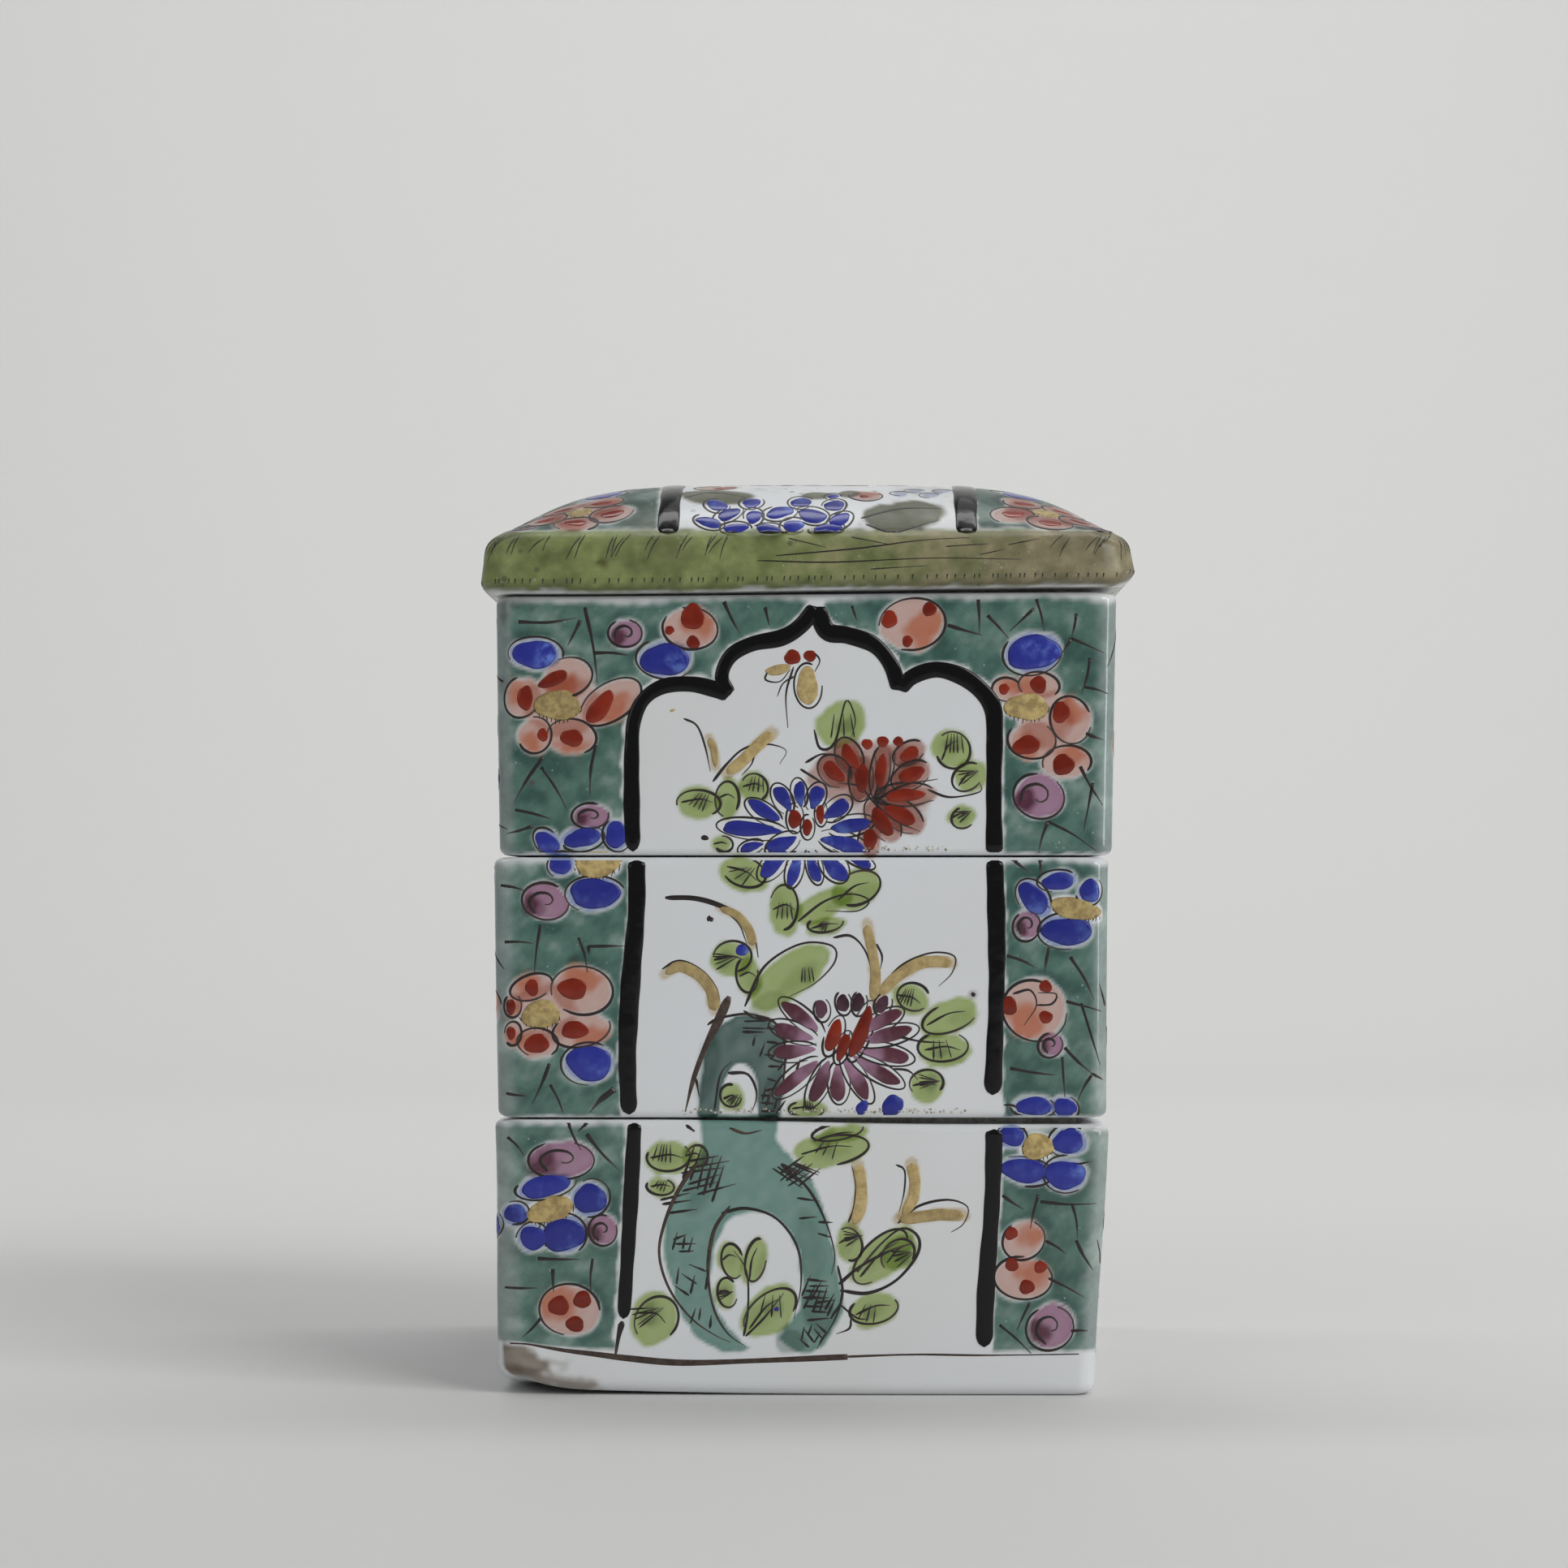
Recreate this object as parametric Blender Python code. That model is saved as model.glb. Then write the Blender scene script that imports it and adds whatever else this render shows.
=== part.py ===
"""A square three-tier porcelain food carrier: three stacking boxes under a domed lid.

Units are metres and +Z is up. The origin is the centre of the foot's underside and -Y is
the front. Each tier is an open box. Under its floor a locating flange hangs down, and it
drops into the mouth of the tier below. The lid sits on the top tier in the same way.
"""
import bmesh
import bpy

MM = 0.001

# Each tier, from the bottom: name, height, side at its foot and side at its rim.
TIERS = (
    ("lower_tier", 44.4 * MM, 96.6 * MM, 98.8 * MM),
    ("middle_tier", 41.8 * MM, 98.3 * MM, 99.2 * MM),
    ("upper_tier", 41.6 * MM, 98.6 * MM, 99.8 * MM),
)
SEAT_GAP = 0.3 * MM          # clearance between a rim and the piece that rests on it
CORNER_RADIUS = 3.0 * MM     # upright outer corners
RIM_RADIUS = 1.0 * MM
FOOT_RADIUS = 1.5 * MM

CAVITY_SIDE = 90.0 * MM
CAVITY_CORNER = 4.5 * MM
CAVITY_FILLET = 3.0 * MM     # where the cavity's walls meet its floor
FLOOR = 4.0 * MM

FLANGE_SIDE = 88.6 * MM
FLANGE_INNER = 82.2 * MM
FLANGE_DEPTH = 3.0 * MM
FLANGE_CORNER = 3.8 * MM

FOOT_RECESS_SIDE = 84.0 * MM
FOOT_RECESS = 2.0 * MM

LID_SIDE = 105.0 * MM        # where the sides would meet the underside with no rounding
LID_LEAN = 1.7 * MM          # how far each side leans in up to the rim's top edge
LID_RIM = 9.6 * MM           # height of the upright rim
LID_EDGE_RADIUS = 1.7 * MM
LID_CORNER = 4.5 * MM
DOME_RISE = 10.6 * MM
DOME_POWER = 4.2             # how square the cushion-shaped dome is
LID_WALL = 4.2 * MM

DOME_CELLS = 26              # grid cells along each side of the dome
CORNER_STEPS = 5
EDGE_STEPS = 3
OVERLAP = 2.0 * MM           # how far joined shapes reach into each other

PORCELAIN = (0.72, 0.74, 0.76, 1.0)
ENAMEL_GREEN = (0.10, 0.20, 0.16, 1.0)
LID_GREEN = (0.24, 0.27, 0.12, 1.0)


def clear_scene():
    for obj in list(bpy.data.objects):
        bpy.data.objects.remove(obj, do_unlink=True)


def collection(name, hidden=False):
    made = bpy.data.collections.new(name)
    made.hide_render = hidden
    bpy.context.scene.collection.children.link(made)
    return made


def glaze(name, colour):
    material = bpy.data.materials.new(name)
    material.use_nodes = True
    shader = material.node_tree.nodes["Principled BSDF"]
    shader.inputs["Base Color"].default_value = colour
    shader.inputs["Roughness"].default_value = 0.2
    shader.inputs["Metallic"].default_value = 0.0
    return material


def add_object(name, shape, target):
    mesh = bpy.data.meshes.new(name)
    bmesh.ops.recalc_face_normals(shape, faces=shape.faces)
    shape.to_mesh(mesh)
    shape.free()
    obj = bpy.data.objects.new(name, mesh)
    target.objects.link(obj)
    return obj


def edges_at(shape, height):
    """The edges that lie in the level plane at this height."""
    near = 0.05 * MM
    return [e for e in shape.edges if all(abs(v.co.z - height) < near for v in e.verts)]


def block(name, target, bottom, top, low_side, high_side, corner, low_round=0.0, high_round=0.0):
    """A square block that tapers from low_side to high_side, with rounded corners and rims."""
    shape = bmesh.new()
    bmesh.ops.create_cube(shape, size=1.0)
    for vert in shape.verts:
        side, height = (high_side, top) if vert.co.z > 0 else (low_side, bottom)
        vert.co = (vert.co.x * side, vert.co.y * side, height)
    uprights = [e for e in shape.edges if abs(e.verts[0].co.z - e.verts[1].co.z) > OVERLAP]
    bmesh.ops.bevel(
        shape, geom=uprights, offset=corner, segments=CORNER_STEPS, profile=0.5, affect="EDGES"
    )
    for height, radius in ((bottom, low_round), (top, high_round)):
        if radius > 0.0:
            bmesh.ops.bevel(
                shape, geom=edges_at(shape, height), offset=radius, segments=EDGE_STEPS,
                profile=0.5, affect="EDGES",
            )
    return add_object(name, shape, target)


def dome(name, target, bottom, edge_height, half, rise):
    """A closed slab with a flat underside, whose top swells up like a square cushion."""
    shape = bmesh.new()
    reach = half + OVERLAP
    bmesh.ops.create_grid(shape, x_segments=DOME_CELLS, y_segments=DOME_CELLS, size=reach)
    under = bmesh.ops.extrude_face_region(shape, geom=list(shape.faces))["geom"]
    lifted = [item for item in under if isinstance(item, bmesh.types.BMVert)]
    for vert in shape.verts:
        vert.co.z = bottom
    for vert in lifted:
        across = max(0.0, 1.0 - abs(vert.co.x / half) ** DOME_POWER)
        along = max(0.0, 1.0 - abs(vert.co.y / half) ** DOME_POWER)
        vert.co.z = edge_height + rise * across * along
    return add_object(name, shape, target)


def boolean(obj, operation, other):
    modifier = obj.modifiers.new(f"{operation.lower()}_{other.name}", "BOOLEAN")
    modifier.operation = operation
    modifier.solver = "EXACT"
    modifier.object = other
    other.hide_render = True
    other.display_type = "WIRE"


def flange(owner, name, bottom, side, inner, cutters):
    """A square ring that hangs under the owner and locates it in the mouth below."""
    top = bottom + FLANGE_DEPTH + OVERLAP
    ring = block(
        f"{name}_flange", cutters, bottom, top, side, side, FLANGE_CORNER, low_round=0.5 * MM
    )
    boolean(owner, "UNION", ring)
    recess = block(
        f"{name}_recess", cutters, bottom - OVERLAP, bottom + FLANGE_DEPTH, inner, inner,
        FLANGE_CORNER,
    )
    return recess


def tier(name, base, height, low_side, high_side, is_lowest, parts, cutters):
    low_round = FOOT_RADIUS if is_lowest else RIM_RADIUS
    body = block(
        name, parts, base, base + height, low_side, high_side, CORNER_RADIUS, low_round, RIM_RADIUS
    )
    if is_lowest:
        under = block(
            f"{name}_foot_recess", cutters, base - OVERLAP, base + FOOT_RECESS,
            FOOT_RECESS_SIDE, FOOT_RECESS_SIDE, CAVITY_CORNER,
        )
        floor_top = base + FOOT_RECESS + FLOOR
    else:
        under = flange(body, name, base - FLANGE_DEPTH, FLANGE_SIDE, FLANGE_INNER, cutters)
        floor_top = base + FLOOR
    boolean(body, "DIFFERENCE", under)
    cavity = block(
        f"{name}_cavity", cutters, floor_top, base + height + OVERLAP, CAVITY_SIDE, CAVITY_SIDE,
        CAVITY_CORNER, low_round=CAVITY_FILLET,
    )
    boolean(body, "DIFFERENCE", cavity)
    return body


def lid(base, parts, cutters):
    """A rim that leans in slightly, a cushion dome over it, and a hollow that follows both."""
    edge_height = base + LID_RIM
    tall = LID_RIM + DOME_RISE + OVERLAP
    lean = 2.0 * LID_LEAN * tall / LID_RIM
    cover = block(
        "lid", parts, base, base + tall, LID_SIDE, LID_SIDE - lean, LID_CORNER, LID_EDGE_RADIUS
    )
    half = LID_SIDE / 2 - LID_LEAN
    outside = dome("lid_outside", cutters, base - OVERLAP, edge_height, half, DOME_RISE)
    boolean(cover, "INTERSECT", outside)
    recess = flange(cover, "lid", base - FLANGE_DEPTH, FLANGE_SIDE, FLANGE_INNER, cutters)
    boolean(cover, "DIFFERENCE", recess)
    hollow = block(
        "lid_hollow", cutters, base - FLANGE_DEPTH, base + tall, FLANGE_INNER - OVERLAP / 2,
        FLANGE_INNER - OVERLAP / 2 - lean, FLANGE_CORNER,
    )
    inside = dome(
        "lid_inside", cutters, base - FLANGE_DEPTH - OVERLAP, edge_height - LID_WALL, half,
        DOME_RISE,
    )
    boolean(hollow, "INTERSECT", inside)
    boolean(cover, "DIFFERENCE", hollow)
    return cover


def build():
    clear_scene()
    parts = collection("tiffin_carrier")
    cutters = collection("cutters", hidden=True)
    base = 0.0
    pieces = []
    for number, (name, height, low_side, high_side) in enumerate(TIERS):
        body = tier(name, base, height, low_side, high_side, number == 0, parts, cutters)
        body.data.materials.append(glaze(f"{name}_glaze", (PORCELAIN, ENAMEL_GREEN)[number % 2]))
        pieces.append(body)
        base += height + SEAT_GAP
    cover = lid(base, parts, cutters)
    cover.data.materials.append(glaze("lid_glaze", LID_GREEN))
    pieces.append(cover)
    for piece in pieces:
        piece.data.shade_smooth()
        piece.data.set_sharp_from_angle(angle=0.6)


build()
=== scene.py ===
"""The looks of the square three-tier porcelain food box: ware, glaze, enamel painting, camera, light.

Lengths are millimetres until a mesh is made, and metres in the frame. The painting of each
upright face is placed by u, to the right of the face's middle, and w, the height over the
foot. The painting of the lid's dome is placed by x and y.
"""
import math
import random

import bmesh
import bpy
import numpy as np
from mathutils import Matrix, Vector


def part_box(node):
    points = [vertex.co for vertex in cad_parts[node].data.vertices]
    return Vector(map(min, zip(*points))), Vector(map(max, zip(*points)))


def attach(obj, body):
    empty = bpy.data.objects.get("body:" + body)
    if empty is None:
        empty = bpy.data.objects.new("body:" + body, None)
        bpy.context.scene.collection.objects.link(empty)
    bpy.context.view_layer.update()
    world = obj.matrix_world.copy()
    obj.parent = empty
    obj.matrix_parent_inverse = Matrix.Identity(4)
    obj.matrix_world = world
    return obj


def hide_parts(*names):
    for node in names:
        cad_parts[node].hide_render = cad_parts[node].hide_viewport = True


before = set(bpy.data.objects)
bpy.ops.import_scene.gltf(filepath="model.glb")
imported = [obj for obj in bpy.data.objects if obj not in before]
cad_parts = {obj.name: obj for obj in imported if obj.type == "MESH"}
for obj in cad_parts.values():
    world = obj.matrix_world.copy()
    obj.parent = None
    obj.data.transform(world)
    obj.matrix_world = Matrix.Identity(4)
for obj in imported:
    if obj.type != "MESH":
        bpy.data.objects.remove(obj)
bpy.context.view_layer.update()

MM = 0.001
FRONT, RIGHT, BACK, LEFT, TOP = range(5)

# ---------------------------------------------------------------- sizes of the ware

NODES = ("lower_tier", "middle_tier", "upper_tier", "lid")
BODY_OF = {"lower_tier": "lower", "middle_tier": "middle", "upper_tier": "upper", "lid": "lid"}
TAPER = {"lower_tier": 2.2, "middle_tier": 0.9, "upper_tier": 1.2, "lid": 2.5}
FLANGE_DEPTH = 3.0
CORNER = 3.0
RIM_ROUND = 1.3
FOOT_ROUND = 1.9
CAVITY_HALF = 45.0
CAVITY_CORNER = 4.5
FLOOR = 4.0
FLOOR_FILLET = 3.0
FLANGE_HALF = 44.3
FLANGE_INNER = 41.1
FLANGE_CORNER = 3.8
FOOT_RECESS = 2.0
FOOT_RECESS_HALF = 42.0

LID_CORNER = 5.8
LID_EDGE_ROUND = 2.4
LID_SPREAD = 0.63            # how far the lid's sharp edge would stand out past its rounded one
LID_SHOULDER = 3.1
SHOULDER_SWEEP = math.radians(60)
LID_RIM = 10.2
DOME_RISE = 10.6
DOME_POWER = 5.25
DOME_CENTRE = 0.3
LID_WALL = 4.2

ROW_STEP = 0.45              # spacing of the painted rows on the outer walls
COLUMNS = (236, 164, 164, 164)


def smooth(low, high, value):
    """0 up to low, 1 from high on, and an S-curve between them; low may be above high."""
    t = np.clip((value - low) / (high - low), 0.0, 1.0)
    return t * t * (3.0 - 2.0 * t)


def ripple(x, y, size, seed):
    """Smooth random relief from about -1 to 1, with features of about this size."""
    rng = np.random.default_rng(seed)
    total = 0.0
    for _ in range(7):
        angle, phase = rng.uniform(0.0, 2.0 * math.pi, 2)
        wave = size * rng.uniform(0.8, 2.0)
        step = x * math.cos(angle) + y * math.sin(angle)
        total = total + np.sin(step * 2.0 * math.pi / wave + phase)
    return total / 3.0


def on_square(side, u, half, corner, lift=0.0):
    """x and y of the point at u on one side of a square with rounded corners."""
    flat = half - corner
    distance = np.abs(u)
    bend = np.clip((distance - flat) / corner, 0.0, math.pi / 2.0)
    past = np.clip(distance - flat - corner * math.pi / 2.0, 0.0, None)
    across = np.sign(u) * (np.minimum(distance, flat) + (corner + lift) * np.sin(bend))
    out = flat + (corner + lift) * np.cos(bend) - past
    turn = side * math.pi / 2.0
    return across * np.cos(turn) + out * np.sin(turn), across * np.sin(turn) - out * np.cos(turn)


def side_reach(half, corner):
    """The u at which one side of such a square meets the next, in the middle of the corner."""
    return half - corner + corner * math.pi / 4.0


class Wall:
    """The outer wall of one piece, and where a point of the painting lies on it."""

    def __init__(self, node, hang, corner, low_round, high_round, top=None):
        low, high = (np.array(corner_point) / MM for corner_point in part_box(node))
        self.node = node
        self.bottom = low[2] + hang
        self.top = high[2] if top is None else self.bottom + top
        widest = high[0] + (LID_SPREAD if node == "lid" else 0.0)
        grows = -1.0 if node == "lid" else 1.0
        lean = grows * TAPER[node] / 2.0
        self.low_half, self.high_half = (widest - lean, widest) if lean > 0 else (widest, widest + lean)
        self.corner, self.low_round, self.high_round = corner, low_round, high_round

    def half(self, w):
        """Half the side of the wall at height w, drawn in where its rims are rounded."""
        share = (w - self.bottom) / (self.top - self.bottom)
        half = self.low_half + (self.high_half - self.low_half) * share
        for radius, inside in ((self.low_round, w - self.bottom), (self.high_round, self.top - w)):
            short = np.clip(radius - inside, 0.0, radius)
            half = half - (radius - np.sqrt(radius**2 - short**2))
        return half

    def place(self, side, u, w, lift=0.0):
        x, y = on_square(side, u, self.half(w), self.corner, lift)
        return np.stack([x, y, w + np.zeros_like(x)], axis=-1)


WALLS = {
    "lower_tier": Wall("lower_tier", 0.0, CORNER, FOOT_ROUND, RIM_ROUND),
    "middle_tier": Wall("middle_tier", FLANGE_DEPTH, CORNER, RIM_ROUND, RIM_ROUND),
    "upper_tier": Wall("upper_tier", FLANGE_DEPTH, CORNER, RIM_ROUND, RIM_ROUND),
    "lid": Wall("lid", FLANGE_DEPTH, LID_CORNER, LID_EDGE_ROUND, LID_SHOULDER, LID_RIM),
}
LID = WALLS["lid"]
DOME_BASE = LID.top - LID_SHOULDER * (1.0 - math.sin(SHOULDER_SWEEP))
DOME_HALF = float(LID.half(DOME_BASE))


def dome_height(x, y):
    off_centre = x - DOME_CENTRE * (1.0 - (x / DOME_HALF) ** 2)
    across = np.clip(1.0 - np.abs(off_centre / DOME_HALF) ** DOME_POWER, 0.0, 1.0)
    along = np.clip(1.0 - np.abs(y / DOME_HALF) ** DOME_POWER, 0.0, 1.0)
    return DOME_BASE + DOME_RISE * across * along


def warp(points, node):
    """The slight unevenness of hand-built ware, the same for the clay and for what is painted on it."""
    x, y, z = points.T
    seed = NODES.index(node) * 10
    moved_x = x + 0.14 * ripple(y, z, 70.0, seed + 1)
    moved_y = y + 0.14 * ripple(x, z, 70.0, seed + 2)
    wall = WALLS[node]
    lift = np.zeros_like(z)
    if node == "upper_tier":
        moved_x = moved_x + 0.25 * smooth(45.5, 49.0, np.abs(x))
        lift = 0.6 * smooth(-45.0, 50.0, x) * smooth(wall.top - 9.0, wall.top - 0.5, z)
    if node == "middle_tier":
        moved_x = moved_x - 0.35 * smooth(0.0, 50.0, x) - 0.4 * smooth(45.5, 49.0, np.abs(x))
    if node == "lower_tier":
        moved_x = moved_x - (0.4 + 1.3 * smooth(44.0, 4.0, z)) * smooth(-10.0, 50.0, x)
        moved_x = moved_x - (0.5 + 0.7 * smooth(40.0, 8.0, z)) * smooth(-45.5, -48.5, x)
        from_corner = np.hypot(x + 49.0, y + 49.0)
        slump = 2.5 * np.exp(-(from_corner / 7.0) ** 2) + 0.8 * np.exp(-(from_corner / 32.0) ** 2)
        lift = slump * smooth(13.0, 1.0, z)
        dip = 0.75 * smooth(-25.0, 25.0, x) * smooth(10.0, -40.0, y)
        lift = lift - dip * smooth(wall.top - 9.0, wall.top - 0.5, z)
    if node == "lid":
        moved_x = moved_x + 0.45
        low_edge = smooth(wall.bottom + 9.0, wall.bottom, z)
        lift = (1.0 * smooth(-45.0, 50.0, x) + 1.0 * smooth(48.5, 52.5, x)) * low_edge
    return np.stack([moved_x, moved_y, z + lift], axis=-1)


# ---------------------------------------------------------------- shapes on a face

def ellipse(u0, w0, ru, rw, tilt=0.0):
    """Distance from an ellipse's edge: below 0 inside it. The tilt is in degrees, anticlockwise."""
    cos, sin = math.cos(math.radians(tilt)), math.sin(math.radians(tilt))

    def distance(u, w):
        x = ((u - u0) * cos + (w - w0) * sin) / ru
        y = ((w - w0) * cos - (u - u0) * sin) / rw
        near = np.hypot(x, y)
        steep = np.maximum(np.hypot(x / ru, y / rw), 1e-6)
        return near * (near - 1.0) / steep
    return distance


def from_path(u, w, path):
    """Distance from a line through these points."""
    nearest = np.full(np.shape(u), 1e9)
    for (u0, w0), (u1, w1) in zip(path, path[1:]):
        du, dw = u1 - u0, w1 - w0
        t = np.clip(((u - u0) * du + (w - w0) * dw) / max(du * du + dw * dw, 1e-9), 0.0, 1.0)
        nearest = np.minimum(nearest, np.hypot(u - u0 - t * du, w - w0 - t * dw))
    return nearest


def inside(u, w, outline):
    within = np.zeros(np.shape(u), dtype=bool)
    for (u0, w0), (u1, w1) in zip(outline, outline[1:] + outline[:1]):
        if w0 == w1:
            continue
        crosses = (w0 > w) != (w1 > w)
        within ^= crosses & (u < (u1 - u0) * (w - w0) / (w1 - w0) + u0)
    return within


def area(outline):
    closed = list(outline) + [outline[0]]

    def distance(u, w):
        return from_path(u, w, closed) * np.where(inside(u, w, list(outline)), -1.0, 1.0)
    return distance


def stripe(path, half_width):
    return lambda u, w: from_path(u, w, path) - half_width


def curve(points, step=0.4):
    """A smooth line through the points, as evenly spaced points."""
    points = [np.array(p, dtype=float) for p in points]
    if len(points) == 2:
        points.insert(1, (points[0] + points[1]) / 2.0)
    ends = [2 * points[0] - points[1]] + points + [2 * points[-1] - points[-2]]
    made = []
    for a, b, c, d in zip(ends, ends[1:], ends[2:], ends[3:]):
        count = max(2, int(np.linalg.norm(c - b) / step) + 1)
        for t in np.arange(count) / count:
            made.append(0.5 * (2 * b + (c - a) * t + (2 * a - 5 * b + 4 * c - d) * t * t
                               + (3 * b - a - 3 * c + d) * t**3))
    made.append(points[-1])
    return np.array(made)


# ---------------------------------------------------------------- marks of raised enamel

SUNK = -0.03                 # how far a mark's edge lies in the glaze under it


def dab_mesh(outline, height, along, chance):
    """A closed domed patch over an outline: rings of points, a middle, and a flat underside."""
    shares = (0.32, 0.62, 0.85, 1.0)
    count = len(outline)
    middle = outline.mean(axis=0)
    rings = [middle + (outline - middle) * share for share in shares]
    lifts = [height * (1.0 - share**3.2) for share in shares[:-1]] + [SUNK]
    flat = np.vstack([middle[None]] + rings + [middle[None]])
    lift = np.concatenate([[height]] + [np.full(count, value) for value in lifts] + [[SUNK * 2]])
    edge = np.concatenate([[0.0]] + [np.full(count, share) for share in shares] + [[1.0]])
    length = (flat - middle) @ along
    length = 0.5 + 0.5 * length / max(np.abs(length).max(), 1e-6)
    marks = np.stack([edge, length, np.full(len(edge), chance), np.ones(len(edge))], axis=1)
    faces = []
    for k in range(count):
        n = (k + 1) % count
        faces.append((0, 1 + k, 1 + n))
        for ring in range(len(shares) - 1):
            first = 1 + ring * count
            faces.append((first + k, first + count + k, first + count + n, first + n))
        last = 1 + (len(shares) - 1) * count
        faces.append((last + k, 1 + len(shares) * count, last + n))
    return np.column_stack([flat, lift]), marks, faces


def ribbon_mesh(path, half_widths, height, chance, rounded):
    """A closed stroke along a path, with a flat underside and a low or a rounded back."""
    tangent = np.gradient(path, axis=0)
    tangent /= np.maximum(np.linalg.norm(tangent, axis=1), 1e-9)[:, None]
    normal = np.column_stack([-tangent[:, 1], tangent[:, 0]])
    if rounded:
        section = [(-1.0, SUNK), (-0.86, height * 0.62), (-0.5, height * 0.93), (0.0, height),
                   (0.5, height * 0.93), (0.86, height * 0.62), (1.0, SUNK)]
    else:
        section = [(-1.0, SUNK), (-0.5, height), (0.5, height), (1.0, SUNK)]
    sides = len(section)
    rows = [path + normal * (half_widths * across)[:, None] for across, _ in section]
    flat = np.stack(rows, axis=1).reshape(-1, 2)
    slim = np.clip(half_widths / max(half_widths.max(), 1e-6) * 1.5, 0.25, 1.0)
    lift = np.stack([np.where(rise > 0, rise * slim, rise) for _, rise in section], axis=1).reshape(-1)
    share = np.repeat(np.linspace(0.0, 1.0, len(path)), sides)
    edge = np.tile([abs(across) for across, _ in section], len(path))
    marks = np.stack([edge, share, np.full(len(edge), chance), np.ones(len(edge))], axis=1)
    faces = []
    for k in range(len(path) - 1):
        a, b = k * sides, (k + 1) * sides
        for s in range(sides):
            n = (s + 1) % sides
            faces.append((a + s, b + s, b + n, a + n))
    faces.append(tuple(range(sides)))
    end = (len(path) - 1) * sides
    faces.append(tuple(end + s for s in reversed(range(sides))))
    return np.column_stack([flat, lift]), marks, faces


INK_WEIGHT = 1.38            # how much wider ink is drawn than the widths given below

HEIGHTS = {
    "bead": 0.16, "cobalt": 0.14, "iron_red": 0.13, "gold": 0.12, "ochre": 0.09, "violet": 0.08,
    "aubergine": 0.07, "black": 0.24, "ink": 0.045, "brown": 0.05,
}


class Face:
    """The painting of one face: soft washes in the glaze, and raised marks of enamel and ink."""

    def __init__(self, side):
        self.side = side
        self.washes = []
        self.marks = []
        self.chance = random.Random(31 + side)
        self.panel = None

    def wash(self, kind, shape, strength=1.0, soft=0.5, keeps_clear=True):
        self.washes.append((kind, shape, strength, soft, keeps_clear))

    def spot(self, kind, u, w, ru, rw, tilt=0.0, strength=1.0, soft=0.5, keeps_clear=True):
        self.wash(kind, ellipse(u, w, ru, rw, tilt), strength, soft, keeps_clear)

    def dab(self, kind, u, w, ru, rw=None, tilt=0.0, point=0.0, clear=True):
        """A raised oval of enamel; point draws its far end to a tip."""
        rw = ru if rw is None else rw
        jitter = self.chance
        count = 16 if max(ru, rw) < 1.3 else 28
        turn = np.arange(count) / count * 2.0 * math.pi
        uneven = 1.0
        for waves, amount in ((2, 0.05), (3, 0.055), (5, 0.022), (8, 0.010)):
            uneven = uneven + amount * np.sin(waves * turn + jitter.uniform(0, 6))
        x = ru * np.cos(turn) * uneven
        y = rw * np.sin(turn) * uneven * (1.0 - point * 0.5 * (1.0 + np.cos(turn)) ** 1.3 * 0.45)
        cos, sin = math.cos(math.radians(tilt)), math.sin(math.radians(tilt))
        outline = np.column_stack([u + x * cos - y * sin, w + x * sin + y * cos])
        height = HEIGHTS[kind] * min(1.0, 0.35 + min(ru, rw) * 0.5)
        self.marks.append((kind, dab_mesh(outline, height, np.array([cos, sin]), jitter.random())))
        if clear:
            self.washes.append((None, ellipse(u, w, ru, rw, tilt), 0.0, 0.5, True))

    def ink(self, *points, width=0.42, end=0.12, kind="ink", start=None):
        """A brush stroke that thins from its start to its end."""
        path = curve(points, 0.7)
        share = np.linspace(0.0, 1.0, len(path))
        shake = 1.0 + 0.14 * np.sin(share * self.chance.uniform(6, 14) + self.chance.uniform(0, 6))
        body = (width + (end - width) * share**1.6) * shake
        first, run = (0.5, 0.05) if start is None else (start, 0.25)
        press = first + (1.0 - first) * smooth(0.0, run, share)
        halves = np.maximum(body * press * INK_WEIGHT / 2.0, 0.05)
        mark = ribbon_mesh(path, halves, HEIGHTS[kind], self.chance.random(), False)
        self.marks.append((kind, mark))

    def loop(self, u, w, ru, rw, tilt=0.0, start=0.0, sweep=330.0, width=0.34):
        """An ink outline that runs most of the way round an oval, a little off its edge."""
        jitter = self.chance
        cos, sin = math.cos(math.radians(tilt)), math.sin(math.radians(tilt))
        turns = np.radians(start + np.linspace(0.0, sweep, 14))
        grow = 1.04 + 0.05 * np.sin(turns * 2 + jitter.uniform(0, 6))
        x, y = ru * np.cos(turns) * grow, rw * np.sin(turns) * grow
        shift_u, shift_w = jitter.uniform(-0.2, 0.2), jitter.uniform(-0.2, 0.2)
        line = [(u + shift_u + a * cos - b * sin, w + shift_w + a * sin + b * cos) for a, b in zip(x, y)]
        self.ink(*line, width=width, end=width * 0.55)

    def band(self, *points, half=1.22, tips=(0.9, 0.9), kind="black"):
        """A thick enamel stroke with rounded or pointed ends."""
        path = curve(points, step=0.5)
        length = np.concatenate([[0.0], np.cumsum(np.linalg.norm(np.diff(path, axis=0), axis=1))])
        total = length[-1]
        halves = half * (1.0 + 0.07 * np.sin(length * 0.21 + self.chance.uniform(0, 6))
                         + 0.03 * np.sin(length * 0.9 + self.chance.uniform(0, 6)))
        for tip, run in ((tips[0], length), (tips[1], total - length)):
            halves = halves * np.sqrt(np.clip(1.0 - np.clip(1.0 - run / tip, 0, 1) ** 2, 0.004, 1.0))
        mark = ribbon_mesh(path, halves, HEIGHTS[kind], self.chance.random(), True)
        self.marks.append((kind, mark))

    # -- motifs made of several washes and marks

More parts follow.
